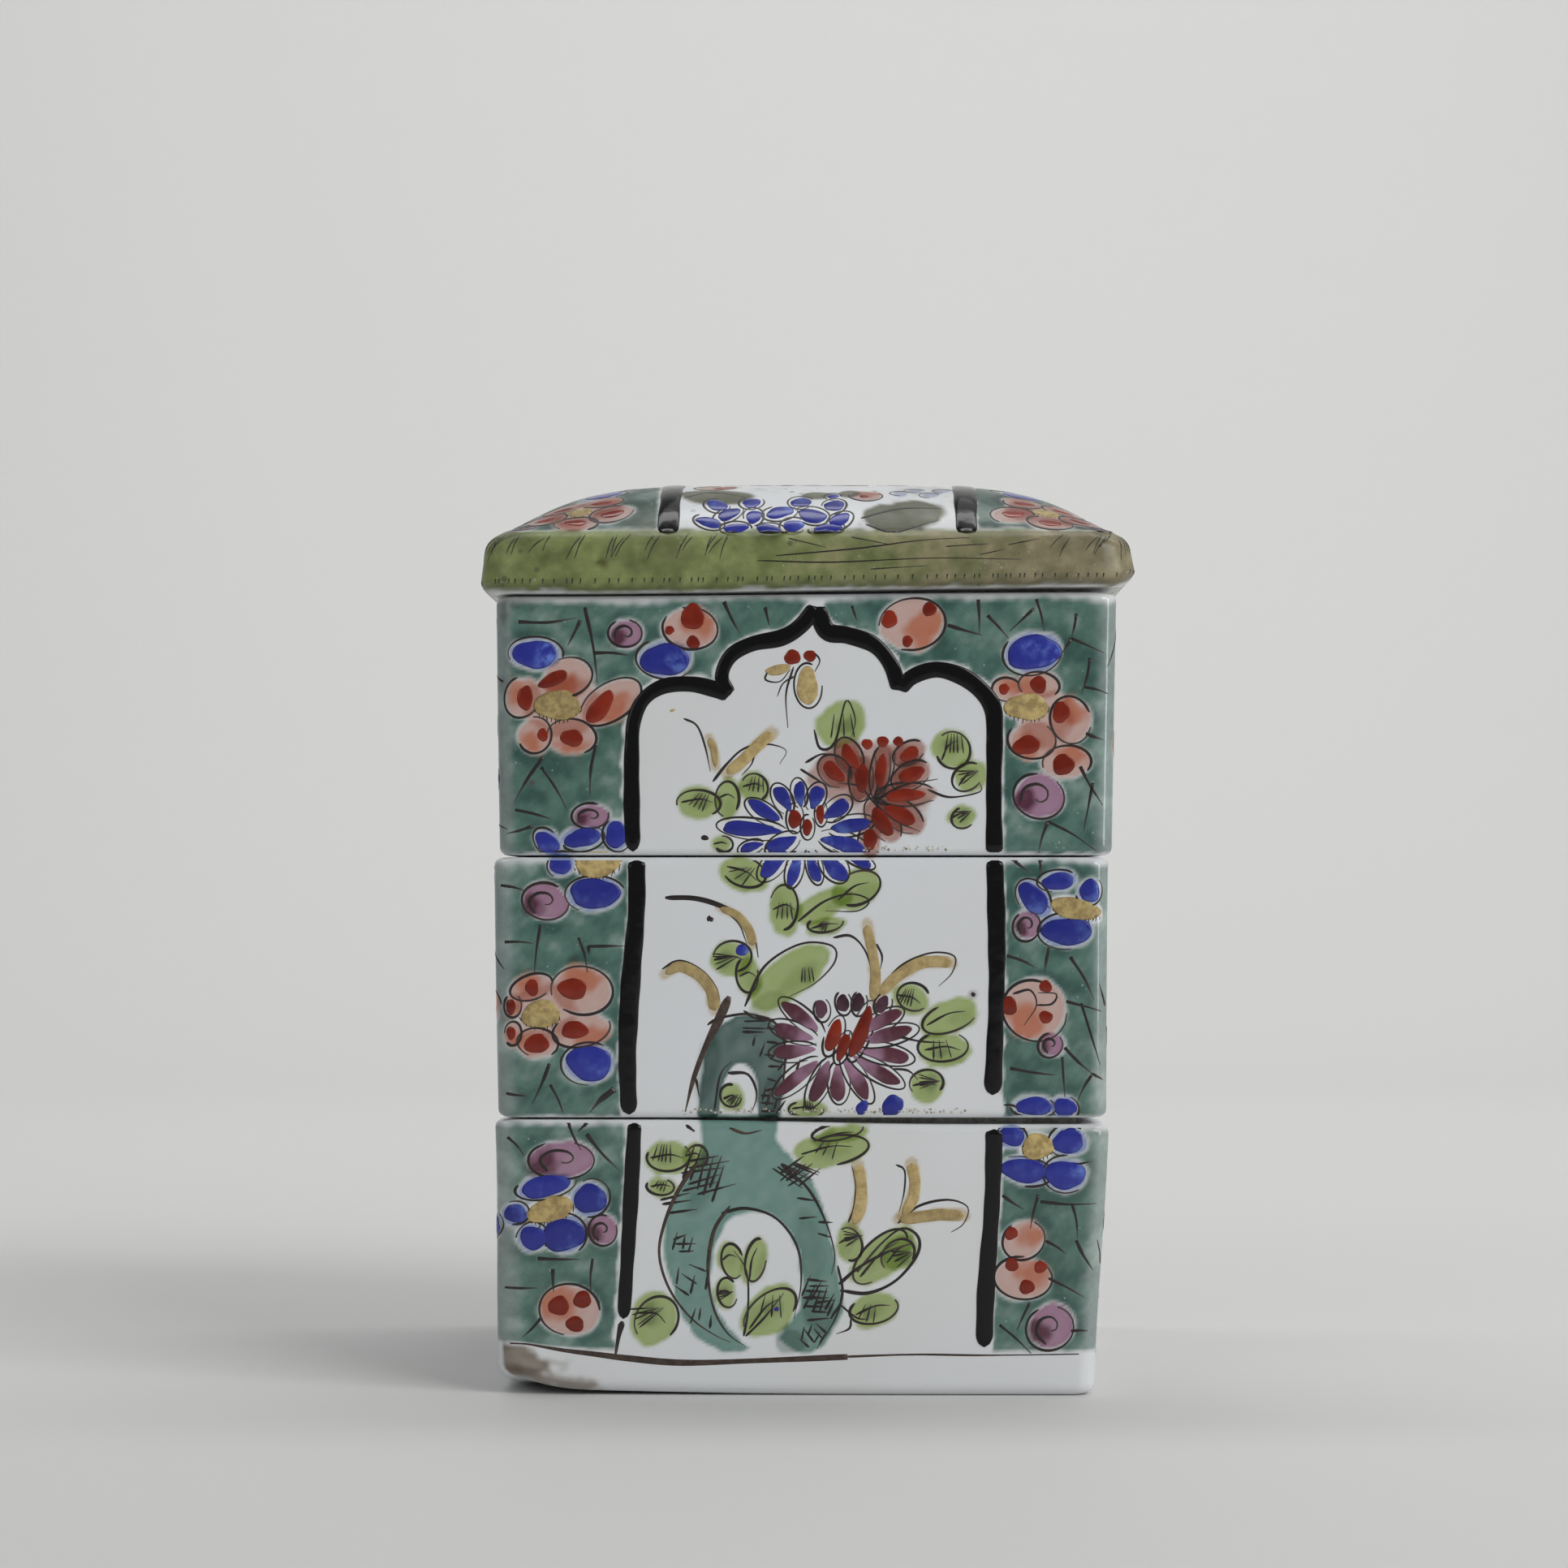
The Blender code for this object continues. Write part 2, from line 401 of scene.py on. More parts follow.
    def coral_petal(self, u, w, ru, rw, tilt=0.0, *reds):
        """A translucent petal, strongest along one side, with glossy red dabs and a loose outline."""
        chance = self.chance
        self.spot("blush", u, w, ru, rw, tilt, 0.95, 0.6)
        out = math.radians(tilt + chance.uniform(0, 360))
        self.spot("coral", u + ru * 0.45 * math.cos(out), w + rw * 0.45 * math.sin(out), ru * 0.62, rw * 0.62,
                  tilt, 0.95, 2.2, False)
        self.loop(u, w, ru, rw, tilt, chance.uniform(0, 360), chance.uniform(230, 330), 0.42)
        for red in reds:
            self.dab("iron_red", *red, clear=False)

    def blue_petal(self, u, w, ru, rw, tilt=0.0):
        chance = self.chance
        self.spot("blue_wash", u + chance.uniform(-0.2, 0.2), w, ru + 0.14, rw + 0.14, tilt, 0.85, 0.5)
        self.dab("cobalt", u, w, ru, rw, tilt, clear=False)
        self.loop(u, w, ru * 1.05 + 0.2, rw * 1.05 + 0.2, tilt, chance.uniform(0, 360), 215, 0.36)

    def ray(self, kind, u, w, ru, rw, tilt, centre=None):
        """One petal of a chrysanthemum, with its tip away from the centre, and its ink outline."""
        if centre is not None:
            tilt = math.degrees(math.atan2(centre[1] - w, centre[0] - u))
        self.dab(kind, u, w, ru * 1.12, rw * 1.18, tilt, point=0.8)
        self.loop(u, w, ru * 1.20, rw * 1.26 + 0.12, tilt, 18, self.chance.uniform(280, 330), 0.32)

    def violet_ball(self, u, w, ru, rw=None, tilt=0.0):
        """A violet bud, dark at one side, with a curl of ink in it."""
        rw = ru if rw is None else rw
        chance = self.chance
        self.spot("petal_violet", u, w, ru, rw, tilt, 1.0, 0.5)
        self.spot("deep_violet", u - ru * 0.55, w - rw * 0.2, ru * 0.5, rw * 0.62, 30, 1.0, 1.5, False)
        self.loop(u, w, ru, rw, tilt, chance.uniform(60, 140), 310, 0.42)
        first, turns = chance.uniform(200, 260), np.linspace(0.0, 1.0, 7)
        angles = np.radians(first - 330.0 * turns)
        size = 0.78 - 0.62 * turns
        self.ink(*zip(u + ru * size * np.cos(angles), w + rw * size * np.sin(angles)), width=0.5, end=0.2)

    def gold(self, u, w, ru, rw, tilt=0.0):
        """A gilded flower centre with short dark strokes across its lower side."""
        self.dab("gold", u, w, ru, rw, tilt)
        chance = self.chance
        cos, sin = math.cos(math.radians(tilt)), math.sin(math.radians(tilt))
        count = int(ru * 3.2)
        for k in range(count):
            x = (k + 0.5) / count * 2.0 - 1.0
            deep = -rw * math.sqrt(max(0.0, 1.0 - x * x))
            low, high = deep * chance.uniform(0.95, 1.15), deep * chance.uniform(-0.1, 0.55)
            lean = chance.uniform(-0.15, 0.15)
            ends = [(x * ru, low), ((x + lean) * ru, high)]
            self.ink(*[(u + a * cos - b * sin, w + a * sin + b * cos) for a, b in ends], width=0.17, end=0.1)

    def leaf(self, u, w, ru, rw, tilt=0.0, smudge=True, outline=True):
        """A lime leaf whose wash runs past its ink outline."""
        chance = self.chance
        self.spot("lime", u, w, ru, rw, tilt, 1.0, 0.8)
        self.spot("deep_lime", u + ru * chance.uniform(-0.4, 0.4), w - rw * chance.uniform(-0.2, 0.4), ru * 0.5,
                  rw * 0.45, tilt, 0.6, 1.6, False)
        if outline:
            self.loop(u + chance.uniform(-0.5, 0.5), w + chance.uniform(-0.5, 0.5), ru * 0.88, rw * 0.82, tilt,
                      chance.uniform(0, 360), chance.uniform(200, 300), 0.44)
            cos, sin = math.cos(math.radians(tilt)), math.sin(math.radians(tilt))
            self.ink((u - ru * 0.8 * cos, w - ru * 0.8 * sin), (u - 0.2 * rw * sin, w + 0.2 * rw * cos),
                     (u + ru * 0.55 * cos, w + ru * 0.55 * sin), width=0.36)
        if smudge:
            self.scribble(u + chance.uniform(-0.3, 0.3) * ru, w + chance.uniform(-0.3, 0.3) * rw, min(ru, rw) * 0.7)

    def scribble(self, u, w, size):
        """A dark smudge under a few short strokes that run nearly the same way."""
        chance = self.chance
        self.spot("smudge", u, w, size * 0.7, size * 0.5, chance.uniform(0, 180), 0.6, 1.1, False)
        turn = math.radians(chance.uniform(-10, 95))
        strokes = chance.randint(3, 5)
        for k in range(strokes):
            off = (k / (strokes - 1.0) - 0.5) * chance.uniform(1.1, 1.7) * size
            bend = chance.uniform(-0.3, 0.3)
            a = (u + off * math.cos(turn) - size * math.sin(turn), w - off * math.sin(turn) - size * math.cos(turn) * 0.7)
            b = (u + off * 0.7 * math.cos(turn + bend) + size * 0.8 * math.sin(turn), w + size * 0.8 * math.cos(turn))
            self.ink(a, b, width=chance.uniform(0.18, 0.34), end=0.1)

    def blade(self, *points, half=0.8, inked=True):
        self.band(*points, half=half, tips=(2.4, 0.9), kind="ochre")
        self.wash("sand", stripe([tuple(p) for p in points], half), 0.7, 0.5)
        if inked:
            side = half * 0.95
            path = curve(points, 1.2)
            across = np.gradient(path, axis=0)[:, ::-1] * (-1.0, 1.0)
            across /= np.maximum(np.linalg.norm(across, axis=1), 1e-9)[:, None]
            self.ink(*(path + across * side), width=0.36)

    def hatch(self, u, w, width, height, lines, tilt=0.0, cross=True):
        """Loose strokes side by side, crossed by a few more."""
        chance = self.chance
        for turn in ((tilt, tilt + 62.0) if cross else (tilt,)):
            cos, sin = math.cos(math.radians(turn)), math.sin(math.radians(turn))
            for k in range(lines):
                off = (k / max(lines - 1, 1) - 0.5) * height + chance.uniform(-0.25, 0.25)
                run = width * chance.uniform(0.35, 0.55)
                slide = chance.uniform(-0.25, 0.25) * width
                swing = chance.uniform(-0.3, 0.3)
                a = (u + (slide - run) * cos - (off - swing) * sin, w + (slide - run) * sin + (off - swing) * cos)
                b = (u + (slide + run) * cos - (off + swing) * sin, w + (slide + run) * sin + (off + swing) * cos)
                self.ink(a, b, width=chance.uniform(0.3, 0.5), end=0.14)

    def cracks(self, *lines, width=0.46):
        for u0, w0, u1, w1 in lines:
            bow = self.chance.uniform(-0.05, 0.05)
            middle = ((u0 + u1) / 2 - (w1 - w0) * bow, (w0 + w1) / 2 + (u1 - u0) * bow)
            self.ink((u0, w0), middle, (u1, w1), width=width * self.chance.uniform(0.85, 1.25), end=0.14, start=1.0)


# ---------------------------------------------------------------- the front's painting

FRONT_ARCH = (
    ((-27.4, 87.4), (-27.6, 94.0), (-27.6, 104.0), (-27.2, 108.6), (-25.6, 111.9), (-22.4, 113.9), (-18.0, 114.2),
     (-14.4, 113.4), (-11.9, 112.5)),
    ((-11.9, 112.4), (-13.2, 115.4), (-11.8, 118.7), (-8.4, 120.6), (-3.6, 121.6), (-0.6, 123.4), (1.9, 126.3)),
    ((1.9, 126.3), (3.6, 122.6), (7.0, 121.9), (11.2, 120.4), (13.9, 117.2), (15.2, 113.2)),
    ((15.2, 113.2), (17.4, 115.4), (21.2, 116.5), (25.3, 115.4), (28.3, 113.2), (30.1, 110.6), (30.5, 107.0),
     (30.4, 97.0), (30.5, 87.0)),
)
FRONT_POSTS = (
    ((-26.9, 86.1), (-26.9, 78.0), (-27.9, 66.0), (-28.5, 55.0), (-28.3, 45.2)),
    ((30.7, 86.2), (31.0, 76.0), (31.0, 66.0), (30.6, 56.0), (30.2, 48.4)),
    ((-27.2, 44.0), (-27.9, 32.0), (-28.6, 21.0), (-29.2, 12.4)),
    ((30.7, 43.7), (30.5, 30.0), (30.0, 18.0), (29.9, 7.9)),
)


def paint_arch(face, arch, posts):
    """The black bands of a face, and the outline of the white panel inside them."""
    upper_left, upper_right, low_left, low_right = posts
    left = list(reversed(low_left)) + list(reversed(upper_left))
    right = list(upper_right) + list(low_right)
    over = [tuple(point) for lobe in arch for point in curve(lobe, 1.0)]
    face.panel = [(left[0][0], -6.0)] + left + over + right + [(right[-1][0], -6.0)]
    for number, lobe in enumerate(arch):
        face.band(*lobe, half=1.26 if number < 2 else 1.38, tips=(2.6 if number == 0 else 0.9, 0.9))
    for post, half in zip(posts, (1.52, 1.42, 1.2, 1.42)):
        face.band(*post, half=half, tips=(0.9, 2.2))


def paint_front_upper_border(face):
    face.spot("blush", -38.5, 110.6, 6.4, 5.0, 0, 0.9, 1.6)
    face.spot("blush", 38.5, 108.6, 4.6, 4.4, 0, 0.9, 1.6)
    face.blue_petal(-43.2, 119.0, 3.9, 2.3, -6)
    face.blue_petal(-22.3, 118.1, 4.0, 2.85)
    face.violet_ball(-28.6, 122.3, 2.5, 2.2)
    face.coral_petal(-18.5, 123.2, 4.4, 3.1, 0, (-17.9, 124.9, 2.1), (-21.6, 122.8, 0.8), (-17.8, 120.9, 1.15))
    face.coral_petal(-37.9, 115.2, 3.9, 3.1, 10, (-40.2, 115.0, 2.6, 1.2, 25))
    face.coral_petal(-45.2, 112.0, 2.9, 3.2, 0, (-44.7, 112.0, 1.3, 2.2))
    face.coral_petal(-31.0, 111.3, 5.1, 3.0, 35, (-32.7, 110.5, 3.2, 1.6, 50))
    face.coral_petal(-43.0, 106.1, 2.7, 2.7, 0, (-41.9, 106.1, 0.9, 1.2))
    face.coral_petal(-37.4, 105.9, 3.9, 2.7, 0, (-37.2, 105.6, 1.9, 1.5))
    face.gold(-39.5, 110.8, 3.9, 2.7)
    face.violet_ball(-34.1, 93.1, 3.0, 1.9)
    face.cracks(
        (-45.8, 124.2, -36.2, 124.9), (-35.2, 126.5, -33.1, 114.5), (-35.9, 124.4, -37.9, 120.4),
        (-33.8, 119.2, -27.9, 118.8), (-12.9, 127.2, -10.3, 122.2), (-6.3, 126.3, -5.6, 123.5),
        (-41.8, 102.6, -46.5, 95.3), (-42.1, 100.9, -37.9, 94.0), (-33.4, 104.4, -34.3, 96.6),
        (-46.3, 94.1, -40.4, 92.6), (-43.5, 91.5, -48.0, 90.3),
    )
    # the flower that crosses the seam below
    for petal in ((-41.2, 88.8, 2.4, 1.5, -40), (-35.5, 89.6, 3.1, 1.6, 10), (-30.1, 90.1, 1.9, 2.2, 0),
                  (-39.1, 85.4, 1.9, 1.7, 0), (-33.6, 80.7, 4.1, 2.7, 0)):
        face.blue_petal(*petal)
    face.gold(-33.2, 85.3, 3.8, 2.3)
    # right of the arch
    face.coral_petal(17.1, 123.6, 5.0, 3.9, 0, (13.6, 124.3, 1.4), (20.0, 125.8, 1.2), (16.5, 121.0, 0.95))
    face.blue_petal(36.7, 119.2, 4.4, 3.0, 8)
    face.coral_petal(32.3, 113.4, 2.2, 1.9, 0, (32.0, 113.4, 0.95))
    face.coral_petal(37.5, 114.1, 3.1, 2.1, 0, (37.5, 114.1, 1.45))
    face.coral_petal(42.6, 108.3, 3.2, 3.6, 0, (41.1, 109.7, 1.45, 1.9))
    face.coral_petal(36.6, 105.3, 3.6, 3.0, 0, (35.6, 104.4, 2.4, 1.6, 20))
    face.coral_petal(42.0, 101.7, 3.9, 2.5, 0, (41.5, 101.3, 1.8, 1.9))
    face.gold(35.6, 110.5, 3.7, 2.4)
    face.violet_ball(37.5, 96.2, 3.9, 3.5)
    face.cracks(
        (22.9, 123.4, 28.5, 121.9), (27.8, 127.2, 28.0, 122.1), (29.3, 124.8, 32.7, 121.4),
        (36.7, 125.8, 32.9, 122.5), (37.1, 127.2, 38.4, 122.5), (43.5, 125.0, 42.7, 121.4),
        (42.7, 121.4, 47.8, 119.2), (42.7, 121.4, 41.3, 119.2), (45.7, 118.3, 44.4, 112.6),
        (44.9, 113.7, 48.6, 112.6), (45.1, 106.3, 47.8, 105.3), (46.2, 98.4, 44.8, 90.8),
        (44.2, 101.0, 47.7, 94.8), (39.1, 92.2, 37.6, 87.3), (39.1, 92.2, 46.8, 87.5), (7.6, 126.4, 8.4, 124.2),
    )


def paint_front_upper_panel(face):
    # grass, leaves and an insect above
    face.blade((-12.4, 99.9), (-9.8, 102.0), (-7.2, 104.6), (-5.0, 106.4), half=1.0, inked=False)
    face.blade((-14.2, 100.9), (-14.4, 103.6), (-15.2, 105.6), half=0.65, inked=False)
    face.ink((-19.3, 108.7), (-17.2, 107.6), (-15.9, 104.4), (-15.0, 100.2), width=0.38)
    face.ink((-14.6, 98.6), (-12.4, 101.4), (-9.6, 103.9), (-5.9, 104.6), (-2.9, 103.6), (-3.9, 101.4), width=0.42)
    face.ink((-8.0, 104.0), (-8.3, 101.6), (-10.0, 99.6), width=0.3)
    face.leaf(-16.7, 95.3, 3.7, 2.6)
    face.leaf(-12.2, 95.9, 2.0, 3.5, smudge=False)
    face.leaf(-7.9, 97.8, 2.4, 2.5)
    face.leaf(-13.2, 88.6, 1.6, 1.5, smudge=False)
    face.dab("ink", -15.9, 89.6, 0.7, 0.5, clear=False)
    face.dab("ochre", -21.1, 110.0, 0.5, 0.25, 20)
    face.dab("ochre", 0.5, 113.9, 1.9, 3.2, clear=False)
    face.dab("ochre", -4.2, 116.5, 2.3, 0.9, 15, clear=False)
    face.dab("iron_red", -1.9, 118.5, 1.35)
    face.dab("iron_red", 0.9, 118.7, 1.05)
    face.loop(0.6, 114.1, 2.1, 3.6, 0, 70, 290, 0.36)
    face.ink((-1.5, 115.5), (-3.4, 114.3), (-4.3, 112.2), width=0.3)
    face.ink((-1.7, 117.0), (-2.9, 112.6), (-2.6, 107.2), width=0.32)
    face.ink((-5.8, 116.3), (-6.2, 114.9), (-3.9, 114.6), (-2.2, 116.6), width=0.3)
    face.ink((1.4, 119.4), (2.5, 118.0), (1.7, 116.2), width=0.3)
    face.leaf(5.9, 107.9, 4.2, 3.6, 30, outline=False)
    face.ink((1.6, 106.9), (2.6, 103.9), (4.9, 104.8), (6.7, 111.5), (8.2, 108.6), (7.6, 105.8), width=0.42)
    # the coral chrysanthemum
    face.wash("rust", ellipse(9.8, 100.2, 9.4, 4.6, 8), 0.8, 1.6)
    face.wash("rust", ellipse(13.6, 95.6, 6.4, 4.8, -20), 0.45, 1.4)
    for u, w, ru, rw, tilt in (
        (7.4, 102.6, 2.1, 1.1, -60), (4.8, 100.2, 2.0, 1.2, -40), (9.3, 99.2, 2.3, 1.1, 84), (12.3, 100.3, 2.7, 0.9, 82),
        (16.9, 103.0, 1.7, 1.0, 30), (17.2, 99.7, 2.1, 1.2, 25), (16.1, 96.4, 3.2, 1.0, 5), (15.4, 93.3, 2.6, 1.3, -30),
        (12.5, 92.2, 2.5, 1.3, -55), (10.6, 89.4, 1.2, 1.6, 0),
    ):
        face.spot("rust", u, w, ru * 1.6, rw * 1.9, tilt, 0.9, 0.7, False)
        face.dab("iron_red", u, w, ru * 1.08, rw * 1.1, tilt, clear=False)
        face.loop(u, w, ru * 1.5, rw * 1.8, tilt, 20, 300, 0.34)
    for u, w, size in ((10.1, 104.6, 0.95), (12.6, 105.0, 1.0), (15.1, 105.0, 0.9)):
        face.dab("iron_red", u, w, size)
    face.ink((0.2, 101.6), (2.8, 103.0), (5.0, 102.6), width=0.4)
    face.ink((-0.6, 100.6), (2.0, 99.0), (4.4, 97.6), width=0.45)
    face.ink((11.0, 95.4), (9.0, 97.8), (5.4, 98.4), width=0.4)
    face.ink((11.0, 95.4), (11.9, 98.6), (11.2, 103.6), width=0.4)
    face.ink((11.0, 95.4), (14.0, 99.4), (14.7, 103.8), width=0.4)
    face.ink((11.0, 95.4), (16.0, 98.0), (21.4, 99.0), width=0.4)
    face.ink((11.0, 95.4), (16.0, 94.6), (20.8, 95.6), width=0.4)
    face.ink((11.0, 95.4), (14.6, 92.4), (18.6, 90.6), width=0.4)
    face.leaf(23.6, 103.9, 3.0, 3.5, 50)
    face.leaf(26.5, 99.4, 2.8, 2.5, 40)
    face.leaf(25.1, 93.1, 2.2, 1.9, 15)
    face.ink((19.8, 97.3), (23.4, 96.1), (28.2, 97.0), (28.0, 98.6), width=0.38)
    # the blue chrysanthemum that crosses the seam
    heart = (-0.1, 90.2)
    for u, w, ru, rw in (
        (-8.4, 91.0, 4.5, 1.3), (-6.3, 93.9, 2.7, 1.2), (-3.3, 95.9, 2.1, 1.2), (-0.7, 96.6, 1.9, 1.0),
        (1.9, 96.1, 1.9, 1.2), (5.2, 94.1, 2.2, 1.3), (7.4, 91.5, 3.2, 1.2), (6.3, 88.6, 3.4, 1.4),
        (-8.4, 88.2, 1.8, 0.8), (-3.6, 88.6, 2.4, 1.3), (-4.9, 85.5, 2.8, 1.3), (-1.6, 84.4, 2.6, 1.0),
        (1.4, 84.9, 2.4, 1.0), (4.7, 84.9, 2.6, 1.5), (8.7, 85.9, 2.3, 0.8),
    ):
        face.ray("cobalt", u, w, ru, rw, 0, heart)
    for u, w, ru, rw in ((-1.5, 92.6, 1.1, 1.7), (0.5, 91.3, 0.9, 1.4), (2.6, 93.4, 0.75, 1.6)):
        face.dab("iron_red", u, w, ru, rw, 0)
        face.loop(u, w, ru * 1.3, rw * 1.35, 0, 80, 330, 0.3)


def paint_front_middle_border(face):
    face.spot("blush", -41.5, 61.6, 5.0, 4.6, 0, 0.9, 1.6)
    face.violet_ball(-41.6, 79.4, 3.7, 2.8, -20)
    face.coral_petal(-35.7, 65.3, 4.6, 3.9, 0, (-37.2, 65.4, 2.4, 1.9))
    face.coral_petal(-43.7, 65.6, 3.4, 1.9, 15, (-43.7, 65.6, 1.2, 1.4))
    face.coral_petal(-46.6, 62.5, 1.2, 1.9, 0, (-47.0, 62.5, 0.8, 1.3))
    face.coral_petal(-46.6, 58.3, 1.2, 1.9, 0, (-47.0, 58.3, 0.7, 1.2))
    face.coral_petal(-43.0, 56.8, 3.1, 2.3, 0, (-43.0, 56.6, 2.1, 1.7))
    face.coral_petal(-35.7, 58.7, 4.6, 2.6, 8, (-36.9, 58.8, 2.2, 1.6))
    face.gold(-42.3, 61.3, 3.4, 2.4)
    face.blue_petal(-34.6, 53.5, 3.7, 3.1)
    face.cracks(
        (-42.3, 75.7, -43.3, 68.0), (-36.2, 73.6, -34.8, 68.0), (-47.8, 72.9, -43.5, 72.7),
        (-34.6, 72.2, -28.7, 72.3), (-34.6, 72.2, -34.4, 71.0), (-41.0, 53.4, -43.8, 47.0),
        (-40.9, 50.0, -38.8, 45.3), (-48.5, 82.0, -44.7, 81.1), (-47.8, 48.6, -44.4, 48.2),
    )
    face.cracks((-30.6, 49.3, -34.6, 45.6), width=1.0)
    for petal in ((36.9, 79.9, 3.1, 2.0, -55), (40.9, 82.6, 2.9, 1.4, 8), (46.2, 81.1, 1.9, 2.0, -45), (42.4, 74.6, 4.2, 2.4, 0)):
        face.blue_petal(*petal)
    face.gold(43.9, 78.2, 4.6, 1.9, -12)
    face.violet_ball(36.0, 75.6, 2.1, 2.4)
    face.coral_petal(36.9, 62.1, 4.9, 4.8, 0, (32.9, 62.7, 1.4, 1.7), (38.9, 65.8, 1.1), (38.9, 60.9, 1.15))
    face.ink((33.6, 64.6), (36.4, 65.2), (37.4, 62.8), (35.4, 59.6), width=0.36)
    face.ink((37.4, 62.8), (39.9, 63.0), (40.6, 64.6), (37.6, 64.8), width=0.34)
    face.violet_ball(39.7, 56.5, 1.9)
    face.blue_petal(36.9, 46.6, 3.2, 1.5, 0)
    face.blue_petal(41.9, 46.4, 1.9, 1.6, 0)
    face.ink((32.0, 46.8), (33.6, 46.7), (35.6, 45.4), width=0.4)
    face.cracks(
        (32.7, 70.7, 37.5, 68.7), (39.5, 72.0, 38.8, 68.0), (42.9, 70.5, 46.8, 63.6), (42.2, 63.4, 48.4, 61.8),
        (44.6, 63.1, 48.0, 53.2), (41.9, 56.0, 46.4, 51.8), (46.4, 51.8, 44.0, 47.6), (46.4, 51.8, 48.8, 50.8),
        (33.1, 52.7, 40.6, 51.6), (41.5, 54.5, 41.9, 48.1), (38.0, 86.4, 38.0, 83.8), (33.6, 86.2, 36.8, 84.0),
    )


def paint_front_middle_panel(face):
    face.leaf(-9.6, 83.7, 3.9, 2.8, -25)
    face.leaf(-3.0, 78.1, 2.6, 4.1, 0)
    face.leaf(8.3, 81.3, 4.2, 3.0, 30, smudge=False)
    face.leaf(2.9, 78.6, 5.0, 2.4, 25, smudge=False, outline=False)
    face.leaf(3.6, 75.5, 3.3, 1.5, 10)
    face.ink((-1.0, 76.2), (3.2, 79.4), (7.4, 80.6), (10.4, 79.6), (8.6, 77.9), (3.4, 77.9), width=0.36)
    # the branch and the curved blade at the left
    face.ink((-22.3, 80.0), (-17.6, 79.9), (-13.4, 78.7), (-9.8, 76.6), (-8.0, 73.6), (-7.4, 70.4), width=0.85, end=0.2)
    face.blade((-13.6, 78.4), (-10.8, 77.2), (-8.9, 74.8), (-8.2, 72.3), half=0.75, inked=False)
    face.ink((-13.2, 78.2), (-10.6, 76.0), (-9.2, 72.6), width=0.3)
    face.ink((-15.6, 76.8), (-14.6, 76.4), width=0.9, end=0.5)
    face.leaf(-11.7, 70.1, 3.5, 2.8)
    face.leaf(-8.9, 67.4, 1.9, 3.4, smudge=False)
    face.dab("cobalt", -10.0, 71.6, 1.05, clear=False)
    face.blade((-22.3, 67.8), (-20.0, 69.0), (-16.9, 67.6), (-14.9, 65.0), (-14.4, 61.9), half=0.95)
    face.leaf(-2.4, 67.3, 7.6, 3.4, 38, outline=False, smudge=False)
    face.spot("deep_lime", -5.6, 62.8, 3.4, 1.8, 20, 0.8, 1.0)
    face.ink((-9.6, 62.6), (-6.4, 69.0), (-0.6, 72.6), (4.4, 72.3), (4.9, 69.8), (1.8, 66.4), (-2.4, 64.2), width=0.45)
    face.ink((-9.8, 61.9), (-7.6, 60.6), (-3.8, 60.6), width=0.4)
    face.scribble(0.4, 67.6, 1.6)
    # the upper half of the rock
    rock = curve(((-17.3, 44.7), (-16.5, 52.0), (-15.0, 57.4), (-11.9, 60.8), (-7.8, 61.2), (-4.2, 59.0),
                  (-3.4, 55.0), (-4.3, 44.7)), 0.8)
    hole = curve(((-14.2, 44.7), (-13.0, 51.0), (-10.4, 53.2), (-8.2, 51.0), (-7.5, 44.7)), 0.8)
    face.wash("dark_teal", area([tuple(p) for p in rock] + [tuple(p) for p in hole[::-1]]), 1.0, 0.5)
    face.spot("deep_teal", -15.6, 52.5, 1.6, 5.5, -14, 0.6, 1.2, False)
    face.spot("deep_teal", -5.4, 48.0, 1.6, 3.4, 0, 0.65, 1.2, False)
    face.ink((-12.1, 64.2), (-13.8, 60.4), (-16.0, 56.0), (-17.9, 51.0), (-19.4, 45.2), width=1.25, end=0.2, kind="brown")
    face.ink((-15.6, 59.6), (-14.0, 60.6), (-9.6, 61.4), (-5.6, 60.8), width=0.45)
    face.ink((-8.0, 61.2), (-4.6, 59.8), (-3.2, 56.0), (-3.6, 50.0), (-4.4, 45.4), width=0.42)
    face.ink((-12.4, 51.9), (-9.2, 51.7), (-7.8, 48.6), (-8.7, 45.4), width=0.5)
    face.ink((-17.5, 51.0), (-17.0, 48.0), width=0.4)
    face.ink((-14.6, 46.0), (-13.6, 51.6), (-11.6, 54.0), width=0.36)
    face.hatch(-8.4, 59.2, 5.0, 1.6, 3, 4, False)
    face.hatch(-5.0, 54.8, 2.4, 8.0, 5, 0, True)
    face.hatch(-5.4, 47.6, 2.6, 3.4, 4, 5)
    face.leaf(-11.7, 47.9, 1.8, 2.2)
    # the violet chrysanthemum
    centre = (5.0, 56.2)
    for u, w, ru in (
        (-0.6, 60.9, 3.6), (-1.9, 58.3, 3.3), (-1.8, 55.4, 3.2), (-1.3, 51.2, 4.1), (2.5, 50.6, 3.6), (5.2, 50.3, 3.0),
        (8.2, 51.0, 3.6), (11.4, 52.3, 4.0), (12.8, 54.9, 4.1), (13.2, 58.0, 4.0), (12.2, 60.2, 3.4),
    ):
        face.ray("violet", u, w, ru, 1.25, 0, centre)
    for u, w, tilt in ((2.6, 62.2, 100), (6.1, 63.1, 90), (8.6, 63.2, 80), (12.4, 62.9, 60)):
        face.dab("aubergine", u, w, 1.6, 1.1, tilt)
        face.loop(u, w, 1.9, 1.3, tilt, 30, 290, 0.36)
    for u, w, ru, rw, tilt in ((4.6, 57.9, 3.0, 1.15, 72), (6.1, 56.1, 2.4, 1.0, 68), (9.0, 58.4, 4.4, 1.35, 68)):
        face.dab("iron_red", u, w, ru, rw, tilt)
        face.loop(u, w, ru * 1.12, rw * 1.25, tilt, 100, 330, 0.36)
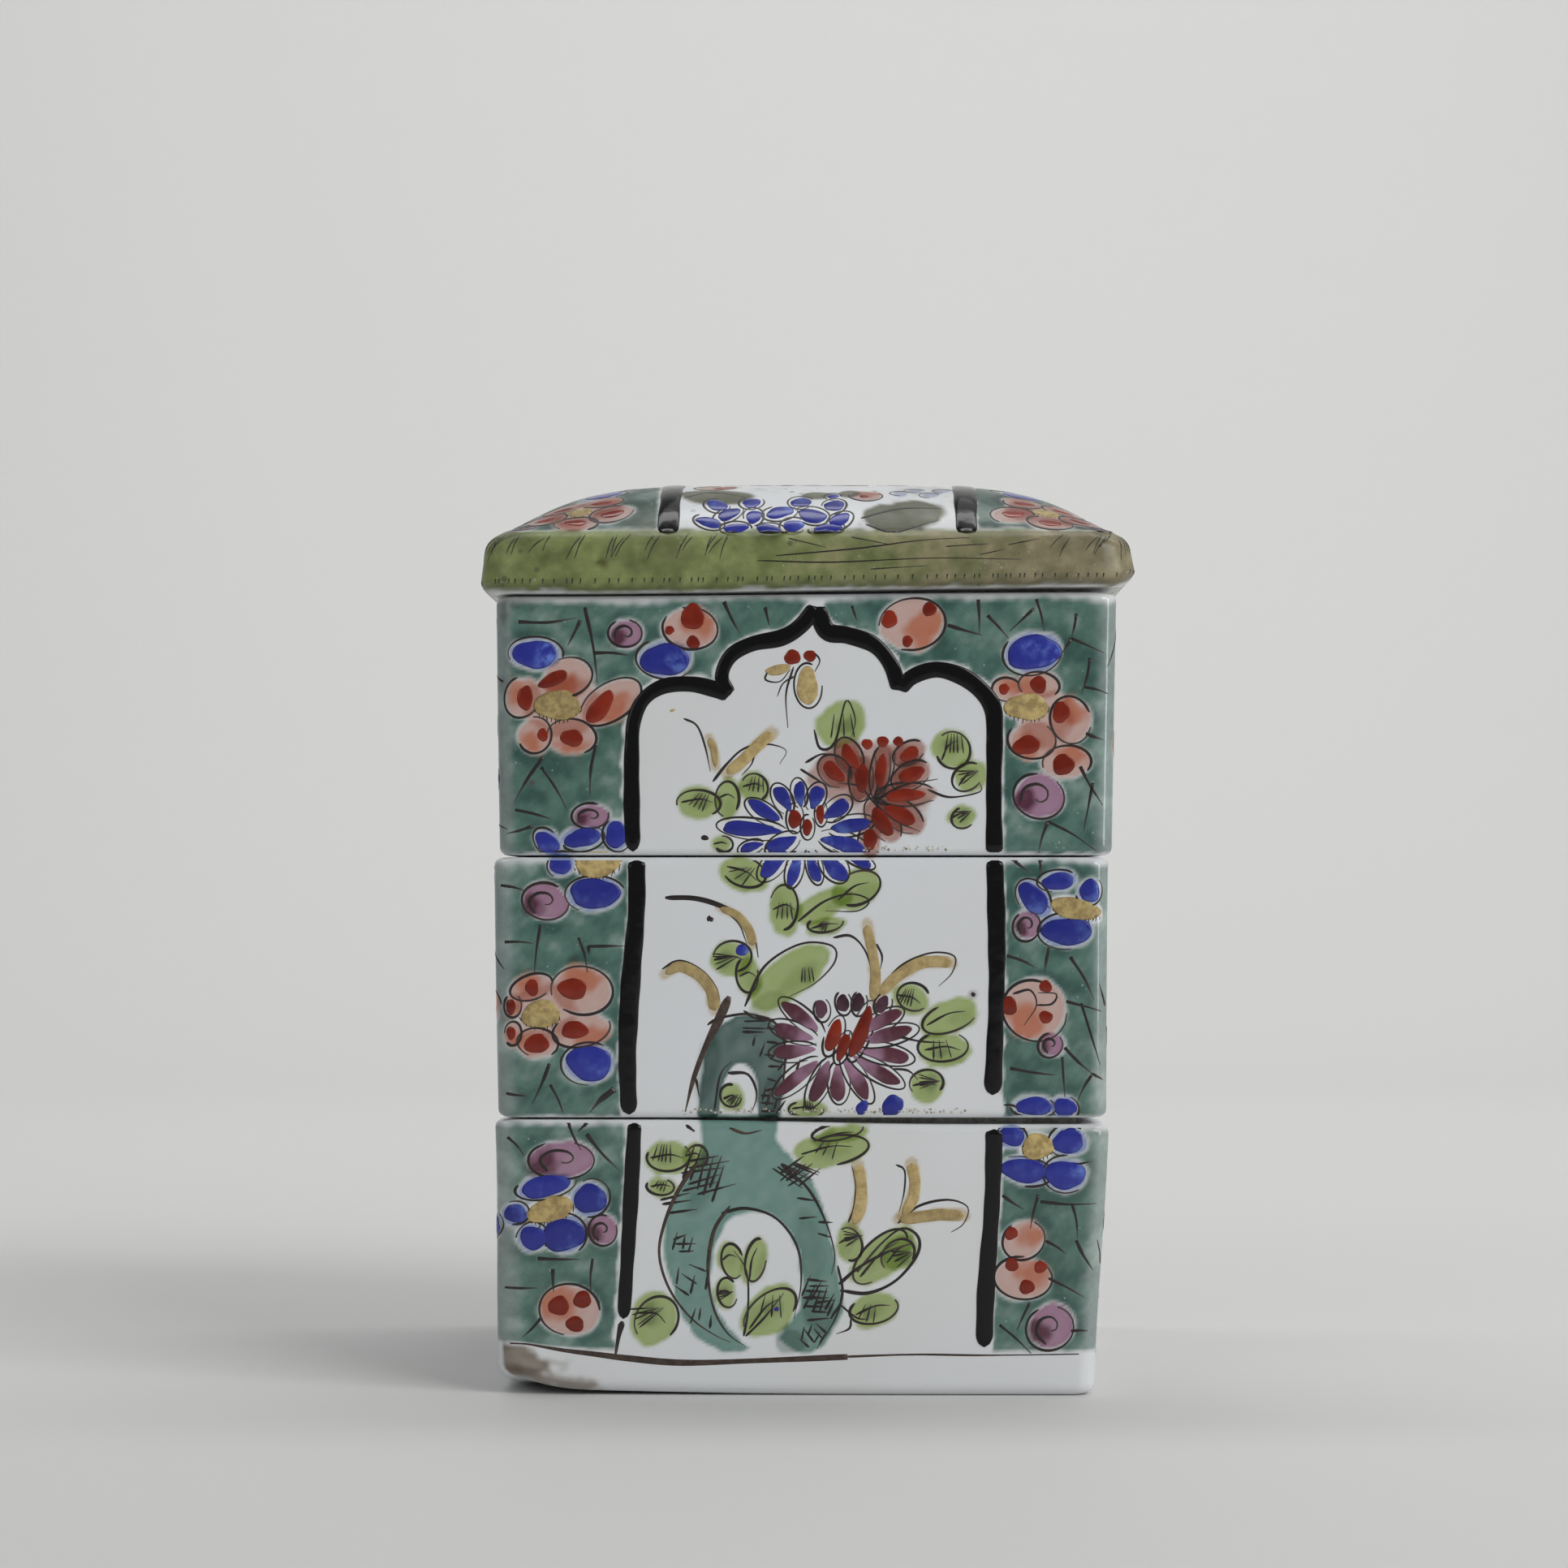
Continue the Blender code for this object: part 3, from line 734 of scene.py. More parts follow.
    # grass and leaves at the right
    face.blade((11.0, 63.6), (11.4, 67.6), (10.9, 71.4), (10.0, 75.6), half=0.9, inked=False)
    face.ink((4.6, 73.6), (7.4, 73.9), (9.6, 71.8), (10.9, 68.0), (10.9, 64.0), width=0.4)
    face.ink((11.6, 72.6), (12.5, 70.6), (12.2, 68.6), width=0.42)
    face.blade((12.0, 64.4), (14.6, 67.2), (18.2, 69.4), (21.2, 69.8), (23.8, 69.6), half=0.95, inked=False)
    face.ink((12.6, 66.0), (16.0, 69.4), (20.6, 71.2), (24.2, 70.6), (23.8, 68.0), (21.6, 65.8), width=0.4)
    face.leaf(17.1, 63.6, 3.0, 2.5, -20)
    face.leaf(23.3, 60.9, 4.9, 2.8, 20, smudge=False)
    face.leaf(22.7, 55.6, 4.3, 2.9, 0)
    face.leaf(19.6, 49.9, 2.9, 2.6, 0)
    face.leaf(0.3, 46.2, 3.1, 1.5, 0)
    face.ink((14.6, 57.9), (18.6, 57.0), (22.6, 56.8), width=0.4)
    face.ink((14.0, 52.6), (16.6, 52.3), (18.2, 50.8), width=0.4)
    face.dab("cobalt", 9.1, 46.4, 1.3, 1.0, 60)
    face.dab("cobalt", 14.0, 46.7, 2.1, 1.6, 50)


def paint_front_lower_border(face):
    face.violet_ball(-38.9, 38.0, 5.2, 2.9, 4)
    for petal in ((-41.6, 33.7, 4.3, 1.8, 15), (-34.4, 31.7, 2.7, 2.6, 0), (-46.2, 29.3, 1.7, 1.6, 0),
                  (-43.6, 25.4, 2.2, 2.1, 0), (-38.8, 25.9, 3.6, 2.9, 0)):
        face.blue_petal(*petal)
    face.gold(-40.9, 29.9, 4.4, 2.1, 15)
    face.violet_ball(-32.5, 26.7, 2.3)
    face.coral_petal(-37.9, 13.6, 4.9, 3.9, 0, (-39.6, 14.5, 1.9, 1.6), (-35.8, 15.5, 1.6, 1.45), (-37.0, 11.5, 1.5))
    face.cracks(
        (-47.3, 41.6, -45.0, 38.7), (-37.9, 44.0, -35.8, 39.5), (-34.8, 43.9, -36.3, 42.5), (-34.9, 42.1, -29.6, 36.2),
        (-42.9, 22.1, -36.0, 22.0), (-40.5, 20.4, -40.4, 16.7), (-34.1, 22.1, -34.4, 16.4), (-47.6, 17.4, -42.8, 17.4),
        (-42.4, 12.6, -45.4, 8.7),
    )
    face.blue_petal(33.6, 42.5, 2.2, 1.8, 0)
    face.blue_petal(42.6, 41.5, 2.7, 2.3, 0)
    face.blue_petal(35.6, 36.4, 3.9, 2.2, -10)
    face.blue_petal(42.2, 35.7, 3.4, 2.6, 0)
    face.gold(37.7, 40.6, 2.7, 2.7)
    face.coral_petal(35.8, 25.1, 3.4, 3.0, 0, (33.8, 26.2, 1.15))
    face.coral_petal(36.0, 18.9, 4.5, 3.4, 0, (34.1, 21.2, 1.2), (38.8, 20.8, 1.1), (36.7, 17.6, 1.3))
    face.violet_ball(40.8, 11.1, 3.6, 3.6)
    face.cracks(
        (32.2, 32.3, 35.7, 30.1), (38.0, 32.4, 36.9, 27.0), (38.4, 31.3, 47.5, 31.0), (43.5, 31.0, 44.6, 25.5),
        (44.4, 25.1, 47.5, 20.2), (39.5, 25.0, 42.8, 23.0), (40.2, 19.0, 46.2, 15.9), (37.3, 15.1, 35.3, 10.6),
        (32.4, 11.5, 37.7, 6.9), (44.2, 10.5, 47.0, 10.5), (43.9, 37.4, 46.6, 38.0),
    )


def paint_front_lower_panel(face):
    rock = [tuple(p) for p in curve((
        (-16.9, 45.2), (-16.6, 38.6), (-20.2, 33.1), (-22.2, 27.9), (-22.8, 22.7), (-21.2, 16.9), (-19.3, 12.0),
        (-15.3, 7.9), (-9.6, 7.1), (-5.0, 9.6), (-1.2, 7.0), (2.7, 7.9), (5.6, 12.0), (6.5, 15.0), (5.4, 18.8),
        (4.1, 26.6), (2.7, 31.7), (-0.4, 36.8), (-4.0, 40.6), (-4.6, 45.2)), 0.8)]
    hole = [tuple(p) for p in curve((
        (-10.2, 8.4), (-13.6, 12.4), (-15.2, 19.4), (-13.4, 26.6), (-8.4, 29.8), (-3.2, 27.4), (-0.5, 20.6),
        (-1.4, 13.2), (-4.6, 8.6), (-7.4, 7.2)), 0.8)]
    rock_edge, hole_edge = area(rock), area(hole)
    face.wash("teal", lambda u, w: np.maximum(rock_edge(u, w), -hole_edge(u, w)), 1.0, 0.7)
    face.spot("deep_teal", 2.2, 13.6, 2.6, 4.0, 20, 0.75, 1.2, False)
    face.spot("deep_teal", -2.4, 8.6, 2.4, 1.8, 0, 0.8, 0.8, False)
    face.spot("deep_teal", -16.4, 34.0, 2.2, 5.0, -25, 0.5, 1.6, False)
    face.spot("deep_teal", 1.0, 24.0, 2.2, 6.0, 10, 0.4, 1.6, False)
    face.ink((-16.9, 38.0), (-20.3, 33.0), (-22.6, 27.6), (-23.4, 22.6), (-21.8, 17.2), (-18.4, 12.6), (-14.6, 9.8),
             (-12.0, 8.6), width=0.6, kind="brown")
    face.ink((-12.0, 30.6), (-14.6, 26.6), (-15.6, 20.4), (-14.8, 14.4), (-12.6, 10.2), (-9.6, 7.9), width=0.6, kind="brown")
    face.ink((-13.4, 29.4), (-9.4, 30.2), (-4.6, 28.6), (-1.2, 24.0), (-0.6, 18.0), (-1.8, 12.4), width=0.5)
    face.ink((-3.6, 37.0), (0.4, 33.6), (3.2, 28.6), (4.9, 23.0), (4.4, 19.6), width=0.45)
    face.ink((5.4, 21.0), (6.2, 16.8), (5.0, 12.4), (2.0, 7.6), width=0.45)
    face.hatch(-16.2, 35.6, 6.5, 5.5, 6, 12)
    face.hatch(-20.4, 31.0, 5.0, 2.6, 3, 14, False)
    face.hatch(-19.6, 24.6, 3.0, 2.4, 3, 10)
    face.hatch(-18.0, 18.6, 3.0, 4.6, 3, 85)
    face.hatch(-16.8, 12.6, 2.6, 3.0, 3, 82, False)
    face.hatch(-1.0, 36.0, 5.6, 3.0, 6, -28)
    face.hatch(0.4, 30.0, 3.6, 3.0, 2, 0, False)
    face.hatch(3.2, 27.0, 2.8, 2.2, 2, -10, False)
    face.hatch(2.8, 15.6, 4.2, 6.0, 8, 4)
    face.hatch(1.4, 9.8, 2.6, 3.6, 4, 70)
    # leaves round the rock and in its hole
    face.leaf(-21.6, 38.3, 3.9, 2.7, 0)
    face.leaf(-17.6, 38.6, 1.9, 2.4, 0, smudge=False)
    face.leaf(-22.8, 33.7, 2.4, 1.6, 0)
    face.leaf(-24.3, 12.4, 3.6, 4.7, -20)
    face.leaf(4.4, 39.9, 6.2, 3.0, 10)
    face.leaf(5.6, 42.4, 4.6, 1.6, 14, smudge=False)
    face.leaf(-12.0, 22.1, 1.9, 3.3, 15, smudge=False)
    face.leaf(-8.2, 21.8, 3.9, 1.9, 76, smudge=False)
    face.leaf(-12.9, 16.5, 1.8, 2.7, 10)
    face.leaf(-5.9, 13.8, 5.4, 3.4, 44)
    face.dab("cobalt", -4.6, 14.0, 0.45, 0.4, clear=False)
    face.ink((-9.9, 9.6), (-9.2, 14.0), (-9.4, 20.0), (-11.4, 23.4), width=0.4)
    face.ink((-9.6, 9.6), (-6.6, 12.6), (-3.4, 16.6), width=0.4)
    # grass and leaves at the right
    face.blade((8.0, 27.6), (9.0, 30.4), (9.2, 34.0), (8.6, 37.3), half=1.0)
    face.blade((16.0, 29.0), (17.6, 31.8), (17.9, 34.6), (17.3, 37.6), half=0.95, inked=False)
    face.ink((14.8, 37.3), (16.2, 36.4), (16.2, 33.0), (15.4, 29.6), width=0.34)
    face.blade((15.4, 28.4), (18.6, 28.8), (22.0, 29.2), (26.0, 29.0), half=0.95, inked=False)
    face.ink((15.2, 27.8), (18.6, 30.6), (23.4, 31.6), (26.6, 30.4), (26.0, 27.8), (24.0, 26.4), width=0.42)
    face.leaf(7.4, 24.9, 2.3, 3.1, 10)
    face.leaf(12.9, 22.6, 6.4, 3.1, 42, smudge=False)
    face.leaf(15.6, 23.2, 3.4, 2.6, 40)
    face.leaf(11.8, 14.0, 4.4, 2.7, 15)
    face.ink((5.6, 18.0), (9.0, 20.8), (14.0, 23.4), (17.6, 24.6), width=0.5, end=0.25)
    face.ink((5.8, 17.0), (10.4, 16.6), (15.0, 18.6), (18.4, 22.6), (18.6, 25.6), (16.0, 27.0), (12.6, 24.6),
             (8.6, 20.0), width=0.5, end=0.3)
    face.ink((6.0, 14.6), (8.6, 12.6), (10.6, 12.4), width=0.4)
    face.ink((7.6, 12.6), (7.4, 10.9), (5.2, 10.0), width=0.38)
    face.ink((-19.0, 43.6), (-17.6, 42.6), width=0.5, end=0.3)
    face.ink((-12.0, 43.2), (-9.4, 42.4), (-6.8, 43.0), width=0.5, kind="brown")


def paint_ground_line(face, reach=47.0):
    """The brown line over the foot, strong at the left and worn away towards the right."""
    face.ink((-reach, 6.8), (-43.8, 7.1), (-35.5, 6.5), (-28.5, 5.7), (-19.8, 5.1), (-7.6, 5.6), (7.1, 6.3),
             width=0.95, end=0.75, kind="brown", start=0.4)
    face.ink((6.0, 6.3), (18.0, 6.7), (30.0, 6.6), (reach - 1.5, 6.8), width=0.34, end=0.16, kind="brown")


def paint_beads(face, left, right, w, count):
    """Grit caught in the glaze along the lower edge of a tier."""
    chance = face.chance
    for _ in range(count):
        size = chance.uniform(0.10, 0.24)
        face.dab("bead", chance.uniform(left, right), w + chance.triangular(0.0, 0.9, 0.1), size, clear=False)


def paint_front():
    face = Face(FRONT)
    paint_arch(face, FRONT_ARCH, FRONT_POSTS)
    face.ink((-29.4, 12.0), (-30.0, 9.4), (-30.6, 5.6), width=0.9, end=0.2)
    paint_front_upper_border(face)
    paint_front_middle_border(face)
    paint_front_lower_border(face)
    paint_front_upper_panel(face)
    paint_front_middle_panel(face)
    paint_front_lower_panel(face)
    paint_ground_line(face)
    paint_beads(face, 6.0, 23.0, 87.6, 46)
    paint_beads(face, -20.0, 26.0, 45.5, 120)
    face.dab("ink", 27.2, 64.5, 0.42, clear=False)
    face.spot("stain_and_shadow", 27.0, 64.5, 0.5, 0.5, 0, 0.6, 0.8, False)
    # brown firing stains at the lifted left corner of the foot and up the left edge; the long low spot along the foot's
    # lower edge at that corner is painted shadow under the lifted corner
    for u, w, ru, rw, strength in ((-46.4, 3.4, 4.8, 2.6, 0.9), (-41.5, 1.0, 8.0, 1.1, 0.85), (-42.0, 4.4, 3.4, 0.7, 0.4),
                                   (-48.6, 6.4, 1.0, 2.4, 0.6), (-48.6, 125.6, 0.9, 2.0, 0.7), (-46.4, 127.4, 2.2, 0.5, 0.6)):
        face.spot("stain_and_shadow", u, w, ru, rw, 0, strength, 2.0, False)
    return face


# ---------------------------------------------------------------- colour of the washes

# colours of the glaze and enamel washes, as a share of the white glaze under them
WASHES = {
    "blush": (0.74, 0.47, 0.40), "coral": (0.84, 0.39, 0.23), "rust": (0.54, 0.27, 0.21),
    "petal_violet": (0.45, 0.23, 0.35), "deep_violet": (0.24, 0.09, 0.13), "blue_wash": (0.22, 0.30, 0.62),
    "lime": (0.45, 0.55, 0.195), "deep_lime": (0.66, 0.70, 0.56), "smudge": (0.40, 0.44, 0.36),
    "sand": (0.66, 0.50, 0.25), "teal": (0.185, 0.355, 0.295), "dark_teal": (0.09, 0.165, 0.142),
    "deep_teal": (0.38, 0.46, 0.43), "rim_lime": (0.27, 0.315, 0.115), "rim_sand": (0.33, 0.28, 0.165),
    "olive": (0.18, 0.185, 0.075), "pale_blue": (0.45, 0.52, 0.72), "stain_and_shadow": (0.30, 0.23, 0.16),
}
GREEN_THIN = np.array((0.34, 0.46, 0.40))
GREEN = np.array((0.126, 0.245, 0.200))
GREEN_DEEP = np.array((0.062, 0.145, 0.120))


def wash_colours(face, u, w, points):
    """The colour of the painted glaze at these places, relative to white."""
    x, y, z = (points[..., k] for k in range(3))
    colour = np.ones(u.shape + (3,))
    reserve = np.full(u.shape, 9.0)
    uneven = 0.22 * ripple(x + 0.7 * y, z - 0.4 * y, 3.2, 5) + 0.1 * ripple(x + y, z, 1.3, 6)
    sway = 0.22 * ripple(x + 0.9 * y, z + 0.2 * y, 6.5, 7)
    for kind, shape, strength, soft, keeps_clear in face.washes:
        distance = shape(u, w) + sway
        if keeps_clear:
            reserve = np.minimum(reserve, distance)
        if kind is None:
            continue
        cover = smooth(0.5 * soft, -0.5 * soft, distance + uneven * soft)
        pooled = 0.94 + 0.10 * np.exp(-(distance / 0.5) ** 2) + 0.12 * uneven
        cover = np.clip(strength * cover * pooled, 0.0, 1.0)[..., None]
        colour *= 1.0 - cover * (1.0 - np.array(WASHES[kind]))
    return colour, reserve, uneven


def ground_colour(cover, uneven, x, y, z, reserve):
    """Mottled green glaze at this cover, as a share of white."""
    mottle = 0.5 + 0.26 * ripple(x + 0.8 * y, z + 0.5 * y, 12.0, 11) + 0.24 * ripple(x - y, z, 4.2, 12)
    mottle = mottle + 0.10 * ripple(x + y, z, 1.6, 13) - 0.05 * smooth(10.0, -45.0, x)
    pool = smooth(0.50, 1.10, mottle + 0.25 * np.exp(-((reserve - 1.2) / 1.0) ** 2))
    thin = smooth(0.45, -0.15, mottle)
    tone = GREEN + (GREEN_DEEP - GREEN) * pool[..., None]
    tone = tone + (GREEN_THIN - tone) * np.clip(0.85 * thin, 0.0, 1.0)[..., None]
    return 1.0 - cover[..., None] * (1.0 - tone)


def wall_paint(face, wall, u, w, points):
    """Washes and green ground on an upright face of a tier."""
    colour, reserve, uneven = wash_colours(face, u, w, points)
    x, y, z = (points[..., k] for k in range(3))
    past_band = area(face.panel)(u, w)
    cover = smooth(1.2, 1.8, past_band + 0.9 * uneven)
    cover *= smooth(-0.2, 0.75, reserve + 0.5 * uneven)
    cover *= smooth(0.2, 1.7, wall.top - w + 0.8 * uneven + 0.35 * ripple(x + y, z, 11.0, 21))
    cover *= smooth(0.1, 0.6, w - wall.bottom + 0.5 * uneven)
    cover *= smooth(7.0, 7.7, w + 0.5 * uneven)
    edge = side_reach(wall.half(w), wall.corner) - np.abs(u)
    cover *= 1.0 - 0.3 * smooth(3.2, 0.4, edge + uneven)
    colour *= ground_colour(cover, uneven, x, y, z, reserve)
    return np.concatenate([colour, cover[..., None]], axis=-1)


def rim_paint(face, wall, u, w, points):
    """The lid's lime and sand-coloured rim, with painted shade on its rounded lower edge."""
    x, y, z = (points[..., k] for k in range(3))
    colour, reserve, uneven = wash_colours(face, u, w, points)
    blotch = ripple(x + y, z * 1.5, 9.0, 31)
    cover = smooth(-0.1, 0.5, w - wall.bottom + 0.5 * uneven + 0.2 * blotch)
    sandy = smooth(-12.0, 46.0, x - 0.35 * (y + 50.0) + 9.0 * blotch + 30.0 * uneven)
    tone = np.array(WASHES["rim_lime"]) * (1.0 - sandy[..., None]) + np.array(WASHES["rim_sand"]) * sandy[..., None]
    tone = tone * (1.0 + 0.16 * blotch[..., None] + 0.6 * uneven[..., None])
    # painted shade: the rim's tone darkens by up to 30% over its rounded lower edge, where it turns under
    tone = tone * (1.0 - 0.3 * smooth(2.2, 0.3, w - wall.bottom + 0.8 * uneven)[..., None])
    colour *= 1.0 - cover[..., None] * (1.0 - tone)
    return np.concatenate([colour, cover[..., None]], axis=-1)


def dome_paint(face, x, y, points):
    """The top of the lid: a white panel between two bands, and green outside them."""
    z = points[..., 2]
    colour, reserve, uneven = wash_colours(face, x, y, points)
    past_band = area(face.panel)(x, y)
    cover = smooth(1.5, 2.3, past_band + 0.9 * uneven) * smooth(-0.2, 0.75, reserve + 0.5 * uneven)
    edge = DOME_HALF - np.maximum(np.abs(x), np.abs(y))
    cover *= smooth(0.3, 1.2, edge + 0.7 * uneven)
    colour = (colour * ground_colour(cover, uneven, x, y, z, reserve)) ** 1.3
    grey = colour.mean(axis=-1, keepdims=True)
    colour = colour + (grey - colour) * 0.28
    rim = smooth(0.9, 0.1, edge + 0.7 * uneven)
    colour *= 1.0 - rim[..., None] * (1.0 - np.array(WASHES["rim_lime"]))
    return np.concatenate([colour, np.maximum(cover, rim)[..., None]], axis=-1)


# ---------------------------------------------------------------- meshes of the ware

COLUMN_SIDE = np.repeat(np.arange(4), COLUMNS)
COLUMN_SHARE = np.concatenate([np.arange(count) / count * 2.0 - 1.0 for count in COLUMNS])


class Rings:
    """A closed body made of level loops, from the middle of its underside to its other middle."""

    def __init__(self):
        self.points, self.paint, self.bare = [], [], []

    def add(self, half, z, corner, bare=0.0, paint=None):
        half, corner = float(half), min(corner, 0.8 * float(half))
        x, y = on_square(COLUMN_SIDE, COLUMN_SHARE * side_reach(half, corner), half, corner)
        height = z(x, y) if callable(z) else np.full_like(x, z)
        points = np.stack([x, y, height], axis=-1)
        self.points.append(points)
        self.bare.append(np.full(len(x), bare))
        self.paint.append(np.ones((len(x), 4)) * (1, 1, 1, 0) if paint is None else paint(points))

    def build(self, node):
        loops, count = len(self.points), len(COLUMN_SIDE)
        flat = np.vstack(self.points)
        flat = np.vstack([flat, self.points[0].mean(axis=0), self.points[-1].mean(axis=0)])
        paint = np.vstack(self.paint + [(1, 1, 1, 0)] * 2)
        bare = np.concatenate(self.bare + [[self.bare[0][0], self.bare[-1][0]]])
        column = np.arange(count)
        after = (column + 1) % count
        faces = []
        for loop in range(loops - 1):
            low, high = loop * count, (loop + 1) * count
            faces += np.stack([low + column, low + after, high + after, high + column], axis=1).tolist()
        under, over = loops * count, loops * count + 1
        last = (loops - 1) * count
        faces += [(under, int(b), int(a)) for a, b in zip(column, after)]
        faces += [(over, last + int(a), last + int(b)) for a, b in zip(column, after)]
        return make_mesh("ware_" + node, warp(flat, node), faces, {"wash": paint, "bare": bare})


def make_mesh(name, points, faces, attributes):
    mesh = bpy.data.meshes.new(name)
    mesh.from_pydata((points * MM).tolist(), [], faces)
    for key, values in attributes.items():
        if values.ndim == 2:
            layer = mesh.attributes.new(key, "FLOAT_COLOR", "POINT")
            layer.data.foreach_set("color", values.astype(np.float32).ravel())
        else:
            layer = mesh.attributes.new(key, "FLOAT", "POINT")
            layer.data.foreach_set("value", values.astype(np.float32))
    mesh.polygons.foreach_set("use_smooth", [True] * len(mesh.polygons))
    mesh.update()
    thing = bpy.data.objects.new(name, mesh)
    bpy.context.scene.collection.objects.link(thing)
    return thing


def arc(count, first=0.0, last=math.pi / 2.0):
    return [first + (last - first) * k / (count - 1) for k in range(count)]


def outer_rows(wall, low_steps, high_steps, sweep):
    """Heights of the painted loops of the outer wall, close together at its rounded rims."""
    heights = [wall.bottom + wall.low_round * (1.0 - math.cos(a)) for a in arc(low_steps)]
    high_start = wall.top - wall.high_round
    low_end = wall.bottom + wall.low_round
    count = max(1, round((high_start - low_end) / ROW_STEP))
    heights += [low_end + (high_start - low_end) * k / count for k in range(1, count)]
    heights += [wall.top - wall.high_round * (1.0 - math.sin(a)) for a in arc(high_steps, 0.0, sweep)]
    return heights


def all_rows(rings, wall, heights, faces, painter):
    """Adds the outer wall's loops, with the painting worked out for all of them at once."""
    grids = []
    for side in range(4):
        share = COLUMN_SHARE[COLUMN_SIDE == side]
        w = np.repeat(np.array(heights)[:, None], len(share), axis=1)
        u = share[None, :] * side_reach(wall.half(w), wall.corner)
        grids.append(painter(faces[side], wall, u, w, wall.place(side, u, w)))
    paint = np.concatenate(grids, axis=1)
    for number, w in enumerate(heights):
        rings.add(wall.half(w), w, wall.corner, paint=lambda points, row=paint[number]: row)


def build_tier(node, faces):
    wall = WALLS[node]
    rings = Rings()
    base, top = wall.bottom, wall.top
    if node == "lower_tier":
        for half in (0.5, 14.0, 28.0, 41.2):
            rings.add(half, base + FOOT_RECESS, 3.0, 0.35)
        rings.add(FOOT_RECESS_HALF, base + FOOT_RECESS - 0.9, 3.0, 0.8)
        rings.add(FOOT_RECESS_HALF + 0.2, base + 0.25, 3.0, 1.0)
        rings.add(FOOT_RECESS_HALF + 0.6, base, 3.0, 1.0)
        rings.add(FOOT_RECESS_HALF + 3.0, base, 3.0, 1.0)
    else:
        inner, outer = FLANGE_INNER, FLANGE_HALF
        for half in (0.5, 14.0, 28.0, 40.6):
            rings.add(half, base, FLANGE_CORNER, 0.2)
        rings.add(inner, base - 0.5, FLANGE_CORNER, 0.6)
        rings.add(inner, base - FLANGE_DEPTH + 0.5, FLANGE_CORNER, 1.0)
        rings.add(inner + 0.5, base - FLANGE_DEPTH, FLANGE_CORNER, 1.0)
        rings.add(outer - 0.5, base - FLANGE_DEPTH, FLANGE_CORNER, 1.0)
        rings.add(outer, base - FLANGE_DEPTH + 0.5, FLANGE_CORNER, 1.0)
        rings.add(outer, base - 0.15, FLANGE_CORNER, 1.0)
        rings.add(outer + 0.15, base, FLANGE_CORNER, 1.0)
    all_rows(rings, wall, outer_rows(wall, 5, 5, math.pi / 2.0), faces, wall_paint)
    rings.add(CAVITY_HALF + 0.8, top, CAVITY_CORNER, 0.5)
    rings.add(CAVITY_HALF + 0.2, top - 0.3, CAVITY_CORNER, 0.7)
    rings.add(CAVITY_HALF, top - 1.0, CAVITY_CORNER, 0.7)
    rings.add(CAVITY_HALF, top - 3.4, CAVITY_CORNER, 0.45)
    floor = base + FLOOR
    for share in (0.2, 0.6, 1.0):
        rings.add(CAVITY_HALF, top - 3.4 + (floor + FLOOR_FILLET - top + 3.4) * share, CAVITY_CORNER)
    for angle in arc(5)[1:]:
        half = CAVITY_HALF - FLOOR_FILLET * (1.0 - math.cos(angle))
        rings.add(half, floor + FLOOR_FILLET * (1.0 - math.sin(angle)), CAVITY_CORNER)
    for half in (34.0, 22.0, 10.0, 0.5):
        rings.add(half, floor, CAVITY_CORNER)
    return rings.build(node)


def build_lid(faces, top_face):
    rings = Rings()
    base = LID.bottom
    for half in (0.5, 10.0, 20.0, 28.0, 34.0, 38.0, 40.4):
        rings.add(half, lambda x, y: dome_height(x, y) - LID_WALL, LID_CORNER)
    inner, outer = FLANGE_INNER, FLANGE_HALF
    rings.add(inner, base + 3.0, FLANGE_CORNER, 0.0)
    rings.add(inner, base - FLANGE_DEPTH + 0.5, FLANGE_CORNER, 0.9)
    rings.add(inner + 0.5, base - FLANGE_DEPTH, FLANGE_CORNER, 1.0)
    rings.add(outer - 0.5, base - FLANGE_DEPTH, FLANGE_CORNER, 1.0)
    rings.add(outer, base - FLANGE_DEPTH + 0.5, FLANGE_CORNER, 1.0)
    rings.add(outer, base - 0.15, FLANGE_CORNER, 1.0)
    rings.add(outer + 0.15, base, FLANGE_CORNER, 1.0)
    rings.add(LID.half(base) - 1.5, base, LID_CORNER, 0.3)
    # the underside of the overhang next to the rim is painted a dark grey-beige: painted shade under the lid's overhang
    rings.add(LID.half(base) - 0.3, base, LID_CORNER, paint=lambda points: np.ones((len(points), 4)) * (0.5, 0.48, 0.38, 1))
    all_rows(rings, LID, outer_rows(LID, 6, 6, SHOULDER_SWEEP), faces, rim_paint)
    near, far = DOME_HALF - 20.0, 0.5
    halves = [DOME_HALF - 0.45 * k for k in range(1, 45)]
    halves += [near - (near - far) * k / 34 for k in range(1, 35)]
    for half in halves:
        rings.add(half, dome_height, LID_CORNER,
                  paint=lambda points: dome_paint(top_face, points[:, 0], points[:, 1], points))
    return rings.build("lid")


# ---------------------------------------------------------------- meshes of the marks

